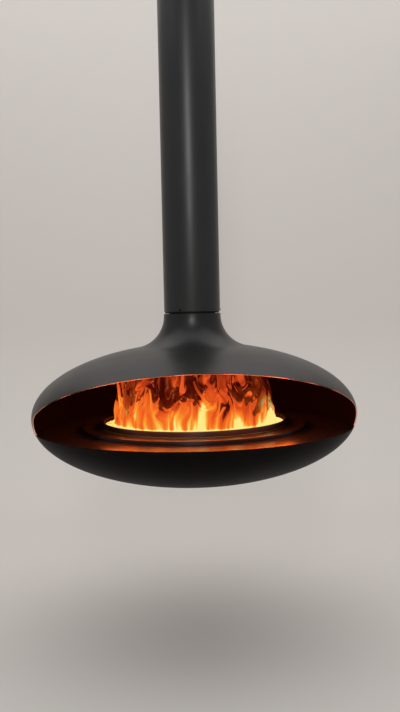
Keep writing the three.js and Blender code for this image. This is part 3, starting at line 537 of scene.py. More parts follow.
@dataclass(frozen=True)
class Flame:
    """Burning gas on a thin sheet: dense and yellow at its foot, red wisps at its tips.

    The sheet's reach attribute is the height that the flames get to at each place, its ardour
    attribute how bright they are there, and its flank attribute grows towards the sides.
    """

    name: str
    foot: float
    strand_width: float = 0.046
    strand_height: float = 0.130
    depth_share: float = 0.30
    veil: float = 0.93
    strength: float = 1.0

    def made(self) -> bpy.types.Material:
        """Builds the material.

        Returns:
            The flame.
        """
        bench = Bench(self.name)
        x, y, z = bench.split(bench.place())
        reach = bench.attribute("reach")
        heat = bench.attribute("ardour")
        up = z - self.foot
        share = up / reach
        across = x * (1.0 / self.strand_width)
        rise = up * (1.0 / self.strand_height)
        back = y * (self.depth_share / self.strand_width)

        def wave(across_scale: float, rise_scale: float, seed: float, detail: float = 1.0) -> Value:
            """Noise over the swirled sheet."""
            spot = bench.joined(
                bent_across * across_scale, bent_rise * rise_scale, back * across_scale + seed
            )
            return bench.noise(spot, 1.0, detail, 0.45)

        bent_across, bent_rise = across, rise
        swirl = up.step(0.02, 0.16)
        sway, lift = wave(0.55, 0.8, 11.0) - 0.5, wave(0.65, 0.9, 29.0) - 0.5
        bent_across = across + sway * (swirl * 3.2 + 0.9)
        bent_rise = rise + lift * swirl * 2.6
        curl, roll = wave(1.7, 3.2, 43.0) - 0.5, wave(1.6, 3.4, 67.0) - 0.5
        bent_across = bent_across + curl * swirl * 1.7
        bent_rise = bent_rise + roll * swirl * 1.3
        body = wave(1.05, 1.15, 0.0, 1.5)
        strand = wave(3.0, 0.75, 51.0)
        thin = wave(1.9, 1.5, 83.0)
        flank = bench.attribute("flank")
        gap = up.step(0.02, 0.165).scaled(0.24, 0.505) + up.step(0.15, 0.24) * 0.025
        gap = gap + share.step(0.88, 1.0) * 0.3
        gap = gap + flank * up.step(0.06, 0.15) * 0.13
        over = body + (strand - 0.5) * 0.14 - gap
        filled = over.step(0.0, 0.045)
        outline = (1.0 - abs(over - 0.018).step(0.0, 0.024)) * up.step(0.06, 0.12)
        thread = (1.0 - abs(thin - 0.5).step(0.0, 0.020)) * up.step(0.10, 0.15)
        thread = thread * (1.0 - share.step(0.85, 1.0)) * (over + 0.14).step(0.0, 0.10)
        veil = (1.0 - share.step(0.75, 1.0)) * (1.0 - flank * 0.6) * self.veil
        opacity = filled.highest(outline * 0.9).highest(thread * 0.8).highest(veil)
        low = 1.0 - up.step(0.085, 0.15)
        warmth = 0.92 - up * 3.4 + (strand - 0.5) * 1.1 + (body - 0.54) * 1.2
        warmth = warmth + heat * low * over.step(0.0, 0.10) * 0.62 + outline * 0.12
        warmth = warmth + (1.0 - up.step(0.030, 0.039)) * 0.35
        burning = bench.ramp(
            warmth,
            [
                (0.08, (0.26, 0.018, 0.004)),
                (0.30, (0.52, 0.050, 0.009)),
                (0.48, (0.82, 0.095, 0.014)),
                (0.66, (0.92, 0.170, 0.019)),
                (0.80, (0.96, 0.290, 0.026)),
                (0.92, (1.0, 0.52, 0.075)),
                (1.0, (1.0, 0.82, 0.24)),
            ],
        )
        smoky = bench.ramp(warmth, [(0.1, (0.045, 0.002, 0.001)), (0.7, (0.20, 0.016, 0.002))])
        wisp = bench.ramp(warmth, [(0.1, (0.22, 0.03, 0.013)), (0.8, (0.78, 0.17, 0.05))])
        colour = bench.mixed((thread * 0.85).lowest(1.0), smoky, wisp)
        colour = bench.mixed(filled.highest(outline), colour, burning)
        return bench.finish(
            Base_Color=(0.0, 0.0, 0.0),
            Roughness=1.0,
            Specular_IOR_Level=0.0,
            Emission_Color=colour,
            Emission_Strength=self.strength,
            Alpha=opacity.lowest(1.0),
        )


# ------------------------------------------------------------------------------ mesh making


def add_object(name: str, mesh: bpy.types.Mesh) -> bpy.types.Object:
    """Links a mesh into the scene as an object at the origin."""
    made = bpy.data.objects.new(name, mesh)
    bpy.context.scene.collection.objects.link(made)
    return made


def shaded(mesh: bpy.types.Mesh, sharp_angle: float = 32.0) -> bpy.types.Mesh:
    """Shades a mesh smooth, with the edges above an angle in degrees left sharp."""
    mesh.shade_smooth()
    mesh.set_sharp_from_angle(angle=math.radians(sharp_angle))
    return mesh


def rounded(profile: Profile, radius: float, steps: int = 3) -> Profile:
    """Rounds the corners of a closed profile that are off the axis.

    Args:
        profile: The corners, as radius and height.
        radius: The rounding, made smaller where an edge is too short for it.
        steps: The number of chords in each rounding.

    Returns:
        The rounded profile.
    """
    made: Profile = []
    count = len(profile)
    for index, corner in enumerate(profile):
        here = Vector(corner)
        before = Vector(profile[index - 1]) - here
        after = Vector(profile[(index + 1) % count]) - here
        if here.x < 1e-6 or math.pi - before.angle(after) < math.radians(25):
            made.append(corner)
            continue
        cut = min(radius, before.length * 0.45, after.length * 0.45)
        start = here + before.normalized() * cut
        end = here + after.normalized() * cut
        for step in range(steps + 1):
            share = step / steps
            point = start.lerp(here, share).lerp(here.lerp(end, share), share)
            made.append((point.x, point.y))
    return made


def closed_grid(name: str, points: np.ndarray, closed_rows: bool) -> bpy.types.Mesh:
    """A mesh over a grid of points whose columns go round and close.

    Args:
        name: The mesh's name.
        points: An array of rows, columns and three parts.
        closed_rows: Whether the last row joins the first.

    Returns:
        The mesh, with its doubles merged and its faces outwards.
    """
    rows, columns = points.shape[:2]
    built = bmesh.new()
    vertices = [[built.verts.new(point) for point in row] for row in points]
    for row in range(rows if closed_rows else rows - 1):
        below, above = vertices[row], vertices[(row + 1) % rows]
        for column in range(columns):
            after = (column + 1) % columns
            built.faces.new((below[column], below[after], above[after], above[column]))
    bmesh.ops.remove_doubles(built, verts=built.verts, dist=1e-6)
    bmesh.ops.recalc_face_normals(built, faces=built.faces)
    mesh = bpy.data.meshes.new(name)
    built.to_mesh(mesh)
    built.free()
    return mesh


def turned(name: str, profile: Profile, segments: int = 128) -> bpy.types.Object:
    """A body of revolution about the flue's axis.

    Args:
        name: The object's name.
        profile: A closed profile, or one that starts and ends on the axis.
        segments: The facets round it.

    Returns:
        The object.
    """
    angles = np.linspace(0.0, 2.0 * math.pi, segments, endpoint=False)
    radii = np.array([point[0] for point in profile])[:, None]
    heights = np.array([point[1] for point in profile])[:, None] + 0.0 * angles
    points = np.stack([radii * np.cos(angles), radii * np.sin(angles), heights], axis=-1)
    on_axis = profile[0][0] < 1e-6 and profile[-1][0] < 1e-6
    return add_object(name, shaded(closed_grid(name, points, not on_axis)))


def box_ring(inner: float, outer: float, low: float, high: float) -> Profile:
    """The profile of a plain ring."""
    return [(inner, low), (outer, low), (outer, high), (inner, high)]


def softened(name: str, node: bpy.types.Object, edge: float) -> bpy.types.Object:
    """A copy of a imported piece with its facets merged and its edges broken.

    Args:
        name: The copy's name.
        node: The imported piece.
        edge: The width of the broken edges.

    Returns:
        The object.
    """
    mesh = node.data.copy()
    mesh.name = name
    mesh.materials.clear()
    built = bmesh.new()
    built.from_mesh(mesh)
    bmesh.ops.remove_doubles(built, verts=built.verts, dist=2e-5)
    bmesh.ops.dissolve_limit(
        built, angle_limit=math.radians(0.5), verts=built.verts, edges=built.edges
    )
    corner = math.radians(40)
    sharp = [e for e in built.edges if e.is_manifold and e.calc_face_angle(0.0) > corner]
    if edge > 0.0:
        bmesh.ops.bevel(
            built,
            geom=sharp,
            offset=edge,
            offset_type="OFFSET",
            segments=2,
            profile=0.6,
            affect="EDGES",
            clamp_overlap=True,
        )
    bmesh.ops.triangulate(built, faces=[f for f in built.faces if len(f.verts) > 4])
    built.to_mesh(mesh)
    built.free()
    return add_object(name, shaded(mesh, 40.0))


def settled(made: bpy.types.Object, name: str) -> bpy.types.Object:
    """Turns an object's modifiers into a plain mesh.

    Args:
        made: The object, which goes.
        name: The name of the new object.

    Returns:
        The object with the plain mesh.
    """
    bpy.context.view_layer.update()
    seen = made.evaluated_get(bpy.context.evaluated_depsgraph_get())
    mesh = bpy.data.meshes.new_from_object(seen)
    mesh.name = name
    made.modifiers.clear()
    bpy.data.objects.remove(made)
    return add_object(name, mesh)


class Growth:
    """A tree of Geometry Nodes that makes what repeats."""

    def __init__(self, name: str) -> None:
        """Starts a tree with one geometry in and one out."""
        self.tree = bpy.data.node_groups.new(name, "GeometryNodeTree")
        self.tree.interface.new_socket(
            "Geometry", in_out="INPUT", socket_type="NodeSocketGeometry"
        )
        self.tree.interface.new_socket(
            "Geometry", in_out="OUTPUT", socket_type="NodeSocketGeometry"
        )
        self.source = self.tree.nodes.new("NodeGroupInput")
        self.given: dict[str, object] = {}

    def size(self, name: str, kind: str, value: object) -> bpy.types.NodeSocket:
        """Adds a named input.

        Args:
            name: Its name.
            kind: Its kind: Float, Int or Material.
            value: What this growth gives it.

        Returns:
            The socket that carries it.
        """
        socket = self.tree.interface.new_socket(
            name, in_out="INPUT", socket_type=f"NodeSocket{kind}"
        )
        self.given[socket.identifier] = value
        return self.source.outputs[name]

    def node(self, kind: str, settings: dict, inputs: dict) -> bpy.types.Node:
        """Adds a node with its settings, then its values and links."""
        made = self.tree.nodes.new(kind)
        for key, setting in settings.items():
            setattr(made, key, setting)
        for key, given in inputs.items():
            if isinstance(given, bpy.types.NodeSocket):
                self.tree.links.new(given, made.inputs[key])
            else:
                made.inputs[key].default_value = given
        return made

    def math(self, operation: str, *operands: object) -> bpy.types.NodeSocket:
        """Adds a Math node."""
        inputs = dict(enumerate(operands))
        return self.node("ShaderNodeMath", {"operation": operation}, inputs).outputs[0]

    def grown(
        self,
        result: bpy.types.NodeSocket,
        seed_mesh: bpy.types.Mesh,
        name: str,
        material: bpy.types.Material,
    ) -> bpy.types.Object:
        """Ends the tree, runs it on a mesh and returns the plain result.

        Args:
            result: The instances, or a mesh made from them.
            seed_mesh: What goes in.
            name: The new object's name.
            material: What the tree's last node sets.

        Returns:
            The object.
        """
        dressing = self.size("Finish", "Material", material)
        real = self.node("GeometryNodeRealizeInstances", {}, {"Geometry": result})
        dressed = self.node(
            "GeometryNodeSetMaterial", {}, {"Geometry": real.outputs[0], "Material": dressing}
        )
        sink = self.tree.nodes.new("NodeGroupOutput")
        self.tree.links.new(dressed.outputs[0], sink.inputs[0])
        carrier = add_object(f"{name}_seed", seed_mesh)
        modifier = carrier.modifiers.new("growth", "NODES")
        modifier.node_group = self.tree
        for identifier, value in self.given.items():
            modifier[identifier] = value
        return settled(carrier, name)


def repeated_round(
    name: str, item: bpy.types.Mesh, count: int, first: float, material: bpy.types.Material
) -> bpy.types.Object:
    """A piece repeated evenly round the flue's axis.

    Args:
        name: The new object's name.
        item: The piece, in its place towards +X.
        count: How many there are.
        first: The azimuth of the first.
        material: Their finish.

    Returns:
        The object.
    """
    growth = Growth(f"{name}_round")
    number = growth.size("Count", "Int", count)
    start = growth.size("First Azimuth", "Float", first)
    places = growth.node("GeometryNodeMeshLine", {}, {"Count": number, "Offset": (0.0, 0.0, 0.0)})
    index = growth.node("GeometryNodeInputIndex", {}, {}).outputs[0]
    turn = growth.math("DIVIDE", growth.math("MULTIPLY", index, 2.0 * math.pi), number)
    azimuth = growth.math("ADD", turn, start)
    rotation = growth.node("ShaderNodeCombineXYZ", {}, {2: azimuth}).outputs[0]
    placed = growth.node(
        "GeometryNodeInstanceOnPoints",
        {},
        {
            "Points": places.outputs[0],
            "Instance": growth.source.outputs["Geometry"],
            "Rotation": rotation,
        },
    )
    return growth.grown(placed.outputs[0], item, name, material)


class Body(Enum):
    """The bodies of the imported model."""

    PIPE = "pipe"
    BEARING = "bearing"
    HEARTH = "hearth"
    DAMPER = "damper"
    ASH_PAN = "ash_pan"
    GRATE = "grate"


class Slot(Enum):
    """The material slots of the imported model's record."""

    PIPE = "pipe_paint"
    HOOD = "hood_paint"
    BOWL = "bowl_paint"
    DECK = "deck_paint"
    TRAY = "tray_paint"
    DAMPER = "damper_paint"
    STEEL = "plain_steel"
    STAINLESS = "stainless_steel"
    IRON = "cast_iron"
    BRICK = "fire_brick"
    BRONZE = "bronze"
    ROPE = "fibre_rope"


@dataclass(frozen=True)
class Looks:
    """The finishes that several sub-assemblies share."""

    paint: HeatproofPaint = HeatproofPaint("matt_black_paint")
    # The hood's paint made darker and duller: painted shade on the bowl, which wears the same paint
    # but hangs in shade under the hearth.
    bowl_paint: HeatproofPaint = HeatproofPaint(
        "shaded_black_paint",
        shade=(0.0034, 0.0025, 0.0020),
        gloss=0.04,
        roughness=0.48,
        rim_wear_and_highlight=(0.012, 0.008, 0.006),
        mottle=0.6,
    )
    pipe_paint: HeatproofPaint = HeatproofPaint("pipe_black_paint", gloss=0.55, cloud_scale=5.0)
    satin: SatinPaint = SatinPaint("satin_black_paint")
    sooty: HeatproofPaint = HeatproofPaint(
        "sooty_black_paint", shade=(0.004, 0.0036, 0.0033), roughness=0.7
    )
    zinc: Steel = Steel("zinc_plated_steel")
    sheet: Steel = Steel("folded_sheet_steel", (0.30, 0.30, 0.30), 0.42, Grain.ROUND)
    blackened: Steel = Steel("blackened_steel", (0.020, 0.019, 0.019), 0.5, Grain.ROUND)
    stainless: Steel = Steel("stainless_steel", (0.50, 0.49, 0.47), 0.30, Grain.ALONG)
    ground: Steel = Steel("ground_bearing_steel", (0.55, 0.55, 0.56), 0.18, Grain.ROUND)
    bronze: Steel = Steel("turned_bronze", (0.50, 0.30, 0.12), 0.34, Grain.ROUND)
    iron: CastIron = CastIron("sand_cast_iron")
    brick: FireBrick = FireBrick("pressed_fire_brick")
    rope: FibreRope = FibreRope("ceramic_fibre_rope")


class Dresser:
    """Gives pieces their finish and body."""

    def __init__(self, frame: dict) -> None:
        """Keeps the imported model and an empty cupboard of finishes."""
        self.nodes = frame["nodes"]
        self.finishes: dict[str, bpy.types.Material] = {}

    def finish(self, look: object) -> bpy.types.Material:
        """The material of a finish, made once."""
        if look.name not in self.finishes:
            self.finishes[look.name] = look.made()
        return self.finishes[look.name]

    def dress(
        self,
        piece: bpy.types.Object,
        look: object,
        body: Body,
        slot: Slot | None = None,
        nodes: Sequence[str] = (),
    ) -> bpy.types.Object:
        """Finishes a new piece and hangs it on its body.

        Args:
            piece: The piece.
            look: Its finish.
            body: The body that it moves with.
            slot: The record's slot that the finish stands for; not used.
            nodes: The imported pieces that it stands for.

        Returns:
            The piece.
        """
        piece.data.materials.clear()
        piece.data.materials.append(self.finish(look))
        if nodes:
            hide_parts(*nodes)
        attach(piece, body.value)
        LOG.info("%s rides on %s", piece.name, body.value)
        return piece

    def soften(
        self, node: str, look: object, body: Body, slot: Slot, edge: float = 0.0005
    ) -> bpy.types.Object:
        """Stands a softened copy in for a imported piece.

        Args:
            node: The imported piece.
            look: Its finish.
            body: The body that it moves with.
            slot: The record's slot that the finish stands for.
            edge: The width of its broken edges.

        Returns:
            The copy.
        """
        copy = softened(f"{node}_finished", self.nodes[node], edge)
        return self.dress(copy, look, body, slot, [node])


# ------------------------------------------------------------------------------------ shell


@dataclass
class ShellCurve:
    """The side of the hearth as a fine line of radius and height above the equator."""

    radius: float = 0.625
    dome_rise: float = 0.275
    bowl_depth: float = 0.265
    neck_radius: float = 0.110
    fillet: float = 0.124
    neck_top: float = 0.3862
    steps: int = 64

    def oval(self, angles: np.ndarray, rise: float, inwards: float) -> np.ndarray:
        """Points of a quarter of an oval, moved inwards."""
        across = rise * np.cos(angles)
        along = self.radius * np.sin(angles)
        length = np.hypot(across, along)
        radii = self.radius * np.cos(angles) - inwards * across / length
        heights = rise * np.sin(angles) - inwards * along / length
        return np.stack([radii, heights], axis=-1)

    def line(self, inwards: float) -> np.ndarray:
        """The side from the foot of the bowl to the top of the neck.

        Args:
            inwards: How far the line is inside the outer face.

        Returns:
            An array of points from the bottom up.
        """
        centre_radius = self.neck_radius + self.fillet
        angles = np.linspace(0.0, math.pi / 2, 4000)
        centres = self.oval(angles, self.dome_rise, -self.fillet)
        meet = int(np.argmin(np.abs(centres[:, 0] - centre_radius)))
        centre_height = centres[meet, 1]
        touch = self.oval(angles[meet : meet + 1], self.dome_rise, 0.0)[0]
        start = math.atan2(touch[1] - centre_height, touch[0] - centre_radius)
        turn = np.linspace(start, -math.pi, self.steps // 2)[1:]
        reach = self.fillet + inwards
        fillet = np.stack(
            [centre_radius + reach * np.cos(turn), centre_height + reach * np.sin(turn)], axis=-1
        )
        bowl = self.oval(np.linspace(-math.pi / 2, 0.0, self.steps), self.bowl_depth, inwards)
        dome = self.oval(np.linspace(0.0, angles[meet], self.steps), self.dome_rise, inwards)
        top = np.array([[self.neck_radius - inwards, self.neck_top]])
        return np.concatenate([bowl, dome[1:], fillet, top])

    def above(self, inwards: float, level: float) -> np.ndarray:
        """The part of the line above a level, with a point on it."""
        line = self.line(inwards)
        kept = line[line[:, 1] > level + 1e-4]
        radius = np.interp(level, line[: self.steps + 2, 1], line[: self.steps + 2, 0])
        return np.concatenate([[[radius, level]], kept])

    def below(self, inwards: float, level: float) -> np.ndarray:
        """The part of the line under a level, with a point on it, from the axis."""
        line = self.line(inwards)
        kept = line[line[:, 1] < level - 1e-4]
        kept[0, 0] = 0.0
        radius = np.interp(level, line[: self.steps + 2, 1], line[: self.steps + 2, 0])
        return np.concatenate([kept, [[radius, level]]])


@dataclass
class HearthShell:
    """The hood and the bowl."""

    dresser: Dresser
    looks: Looks
    curve: ShellCurve = field(default_factory=ShellCurve)
    wall: float = 0.004
    mouth_setback: float = 0.050
    mouth_slope: float = math.radians(29.5)
    mouth_end: float = 0.155
    mouth_corner: float = 0.050
    painted_edge: float = 0.006
    columns: int = 240

    def __post_init__(self) -> None:
        """Reads the shell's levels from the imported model."""
        bowl_low, bowl_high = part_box("bowl")
        hood_low, hood_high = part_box("hood")
        self.equator = bowl_low.z + self.curve.bowl_depth
        self.lip = bowl_high.z
        self.hood_foot = hood_low.z
        self.curve.neck_top = hood_high.z - self.equator

    def build(self) -> None:
        """Makes and dresses the shells."""
        self.dresser.dress(self.hood(), self.looks.paint, Body.HEARTH, Slot.HOOD, ["hood"])
        self.dresser.dress(self.bowl(), self.looks.bowl_paint, Body.HEARTH, Slot.BOWL, ["bowl"])

    def mouth_side(self) -> list[tuple[float, float]]:
        """The mouth from the side, as distance in front of the axis and level."""
        slope = math.tan(self.mouth_slope)
        centre = self.mouth_end + self.mouth_corner
        level = self.lip + slope * (centre - self.mouth_setback)
        level -= self.mouth_corner / math.cos(self.mouth_slope)
        upper = math.pi / 2 + self.mouth_slope
        lower = math.pi + math.asin((level - self.lip) / self.mouth_corner)
        end = [
            (centre + self.mouth_corner * math.cos(a), level + self.mouth_corner * math.sin(a))
            for a in np.linspace(upper, lower, 28)
        ]
        reach = 2.0 * self.curve.radius
        top = (reach, self.lip + slope * (reach - self.mouth_setback))
        return [top, *end, (end[-1][0], self.lip - reach), (reach, self.lip - reach)]

    def mouth_cutter(self) -> bpy.types.Object:
        """A block with the mouth's side, right across the hood."""
        built = bmesh.new()
        width = 2.0 * self.curve.radius
        side = self.mouth_side()
        face = built.faces.new([built.verts.new((-width, -f, z)) for f, z in side])
        swept = bmesh.ops.extrude_face_region(built, geom=[face])["geom"]
        moved = [part for part in swept if isinstance(part, bmesh.types.BMVert)]
        bmesh.ops.translate(built, verts=moved, vec=(2.0 * width, 0.0, 0.0))
        bmesh.ops.recalc_face_normals(built, faces=built.faces)
        mesh = bpy.data.meshes.new("mouth_cutter")
        built.to_mesh(mesh)
        built.free()
        return add_object("mouth_cutter", mesh)

    def hood(self) -> bpy.types.Object:
        """The dome and neck, cut by the mouth."""
        foot = self.hood_foot - self.equator
        outside = self.curve.above(0.0, foot)
        inside = self.curve.above(self.wall, foot)
        profile = [(r, z + self.equator) for r, z in np.concatenate([outside, inside[::-1]])]
        whole = turned("whole_hood", profile, self.columns)
        cutter = self.mouth_cutter()
        modifier = whole.modifiers.new("mouth", "BOOLEAN")
        modifier.operation = "DIFFERENCE"
        modifier.solver = "EXACT"
        modifier.object = cutter
        hood = settled(whole, "hood_shell")
        bpy.data.objects.remove(cutter)
        shaded(hood.data, 40.0)
        self.note_depth(hood.data)
        return hood

    def bowl(self) -> bpy.types.Object:
        """The bowl up to the mouth's level lip."""
        edge = self.lip - self.equator
        outside = self.curve.below(0.0, edge)
        inside = self.curve.below(self.wall, edge)
        profile = [(r, z + self.equator) for r, z in np.concatenate([outside, inside[::-1]])]
        bowl = turned("bowl_shell", rounded(profile, 0.0007, 2), self.columns)
        self.note_depth(bowl.data)
        return bowl

    def note_depth(self, mesh: bpy.types.Mesh) -> None:
        """Gives each point its share of the way through the shell's wall.

        Args:
            mesh: The hood's or the bowl's mesh.
        """
        points = np.empty(len(mesh.vertices) * 3, np.float32)
        mesh.vertices.foreach_get("co", points)
        points = points.reshape(-1, 3)
        seen = np.stack([np.hypot(points[:, 0], points[:, 1]), points[:, 2] - self.equator], 1)
        away = [self.distances(seen, self.curve.line(inwards)) for inwards in (0.0, self.wall)]
        depth = away[0] / (away[0] + away[1] + 1e-9)
        depth[seen[:, 1] > self.curve.neck_top - self.painted_edge] = 0.0
        attribute = mesh.attributes.new("depth", "FLOAT", "POINT")
        attribute.data.foreach_set("value", depth.astype(np.float32))

    @staticmethod
    def distances(points: np.ndarray, line: np.ndarray) -> np.ndarray:
        """How far points are from a line.

        Args:
            points: The points, as rows of two parts.
            line: The line's corners, likewise.

        Returns:
            Each point's distance from the nearest stretch of the line.
        """
        starts, stretches = line[:-1], np.diff(line, axis=0)
        lengths = (stretches**2).sum(axis=1)
        nearest = []
        for part in np.array_split(points, 60):
            offsets = part[:, None] - starts[None]
            shares = np.clip((offsets * stretches).sum(axis=2) / lengths, 0.0, 1.0)
            gaps = offsets - shares[..., None] * stretches
            nearest.append(np.hypot(gaps[..., 0], gaps[..., 1]).min(axis=1))
        return np.concatenate(nearest)


# --------------------------------------------------------------------------------- fire bed


@dataclass
class FireBed:
    """The satin deck and tray, the bricks, the grate and the ash pan."""

    dresser: Dresser
    looks: Looks
    deck_gap: float = 0.006
    tray_wall: float = 0.005
    tray_hole: float = 0.150
    pan_radius: float = 0.140
    pan_wall: float = 0.002
    pan_rim: float = 0.003

    def __post_init__(self) -> None:
        """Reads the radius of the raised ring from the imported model."""
        self.ring_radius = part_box("fire_ring")[1].x

    def build(self) -> None:
        """Makes and dresses the fire bed."""
        dress, looks = self.dresser.dress, self.looks
        dress(self.deck(), looks.satin, Body.HEARTH, Slot.DECK, ["hearth_deck"])
        dress(self.tray(), looks.satin, Body.HEARTH, Slot.TRAY, ["fire_tray"])
        dress(self.ring(), looks.satin, Body.HEARTH, Slot.TRAY, ["fire_ring"])
        dress(self.ash_pan(), looks.sheet, Body.ASH_PAN, Slot.STEEL, ["ash_pan"])
        dress(self.pan_floor(), looks.sheet, Body.ASH_PAN, Slot.STEEL, ["ash_pan_floor"])
        for number in range(1, 5):
            brick = f"fire_brick_{number}"
            self.dresser.soften(brick, looks.brick, Body.HEARTH, Slot.BRICK, 0.0020)
            bracket = f"deck_bracket_{number}"
            self.dresser.soften(bracket, looks.zinc, Body.HEARTH, Slot.STEEL)
        self.dresser.soften("grate", looks.iron, Body.GRATE, Slot.IRON, 0.0015)

    def deck(self) -> bpy.types.Object:
        """The flat ring that closes the bowl, its edges broken."""
        low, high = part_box("hearth_deck")
        profile = box_ring(self.ring_radius + self.deck_gap, high.x, low.z, high.z)
        return turned("hearth_deck_plate", rounded(profile, 0.0008), 240)

    def tray(self) -> bpy.types.Object:
        """The fire tray: skirt, brim and sunk floor."""
        low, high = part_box("fire_tray")
        wall, skirt_foot = self.tray_wall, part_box("hearth_deck")[1].z + 0.0003
        profile = [
            (self.tray_hole, low.z),
            (self.ring_radius, low.z),
            (self.ring_radius, high.z - wall),
            (high.x - wall, high.z - wall),
            (high.x - wall, skirt_foot),
            (high.x, skirt_foot),
            (high.x, high.z),
            (self.ring_radius - wall, high.z),
            (self.ring_radius - wall, low.z + wall),
            (self.tray_hole, low.z + wall),
        ]
        return turned("fire_tray_casting", rounded(profile, 0.0016), 240)

    def ring(self) -> bpy.types.Object:
        """The band round the embers, rounded along its top."""
        low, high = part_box("fire_ring")
        bore = self.ring_radius - self.tray_wall
        profile = box_ring(bore, high.x, low.z, high.z)
        band = turned("fire_ring_band", rounded(profile, 0.0012), 240)
        depths = [float(math.hypot(*v.co.xy) < bore + 0.0004) for v in band.data.vertices]
        attribute = band.data.attributes.new("depth", "FLOAT", "POINT")
        attribute.data.foreach_set("value", depths)
        return band

    def ash_pan(self) -> bpy.types.Object:
        """The side of the ash pan with its rim."""
        low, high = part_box("ash_pan")
        inner = self.pan_radius - self.pan_wall
        profile = [
            (inner, low.z),
            (self.pan_radius, low.z),
            (self.pan_radius, high.z - self.pan_rim),
            (high.x, high.z - self.pan_rim),
            (high.x, high.z),
            (inner, high.z),
        ]
        return turned("ash_pan_side", rounded(profile, 0.0006, 2), 128)

    def pan_floor(self) -> bpy.types.Object:
        """The disc in the foot of the ash pan."""
        low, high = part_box("ash_pan_floor")
        profile = [(0.0, low.z), (high.x, low.z), (high.x, high.z), (0.0, high.z)]
        return turned("ash_pan_disc", rounded(profile, 0.0004, 2), 128)


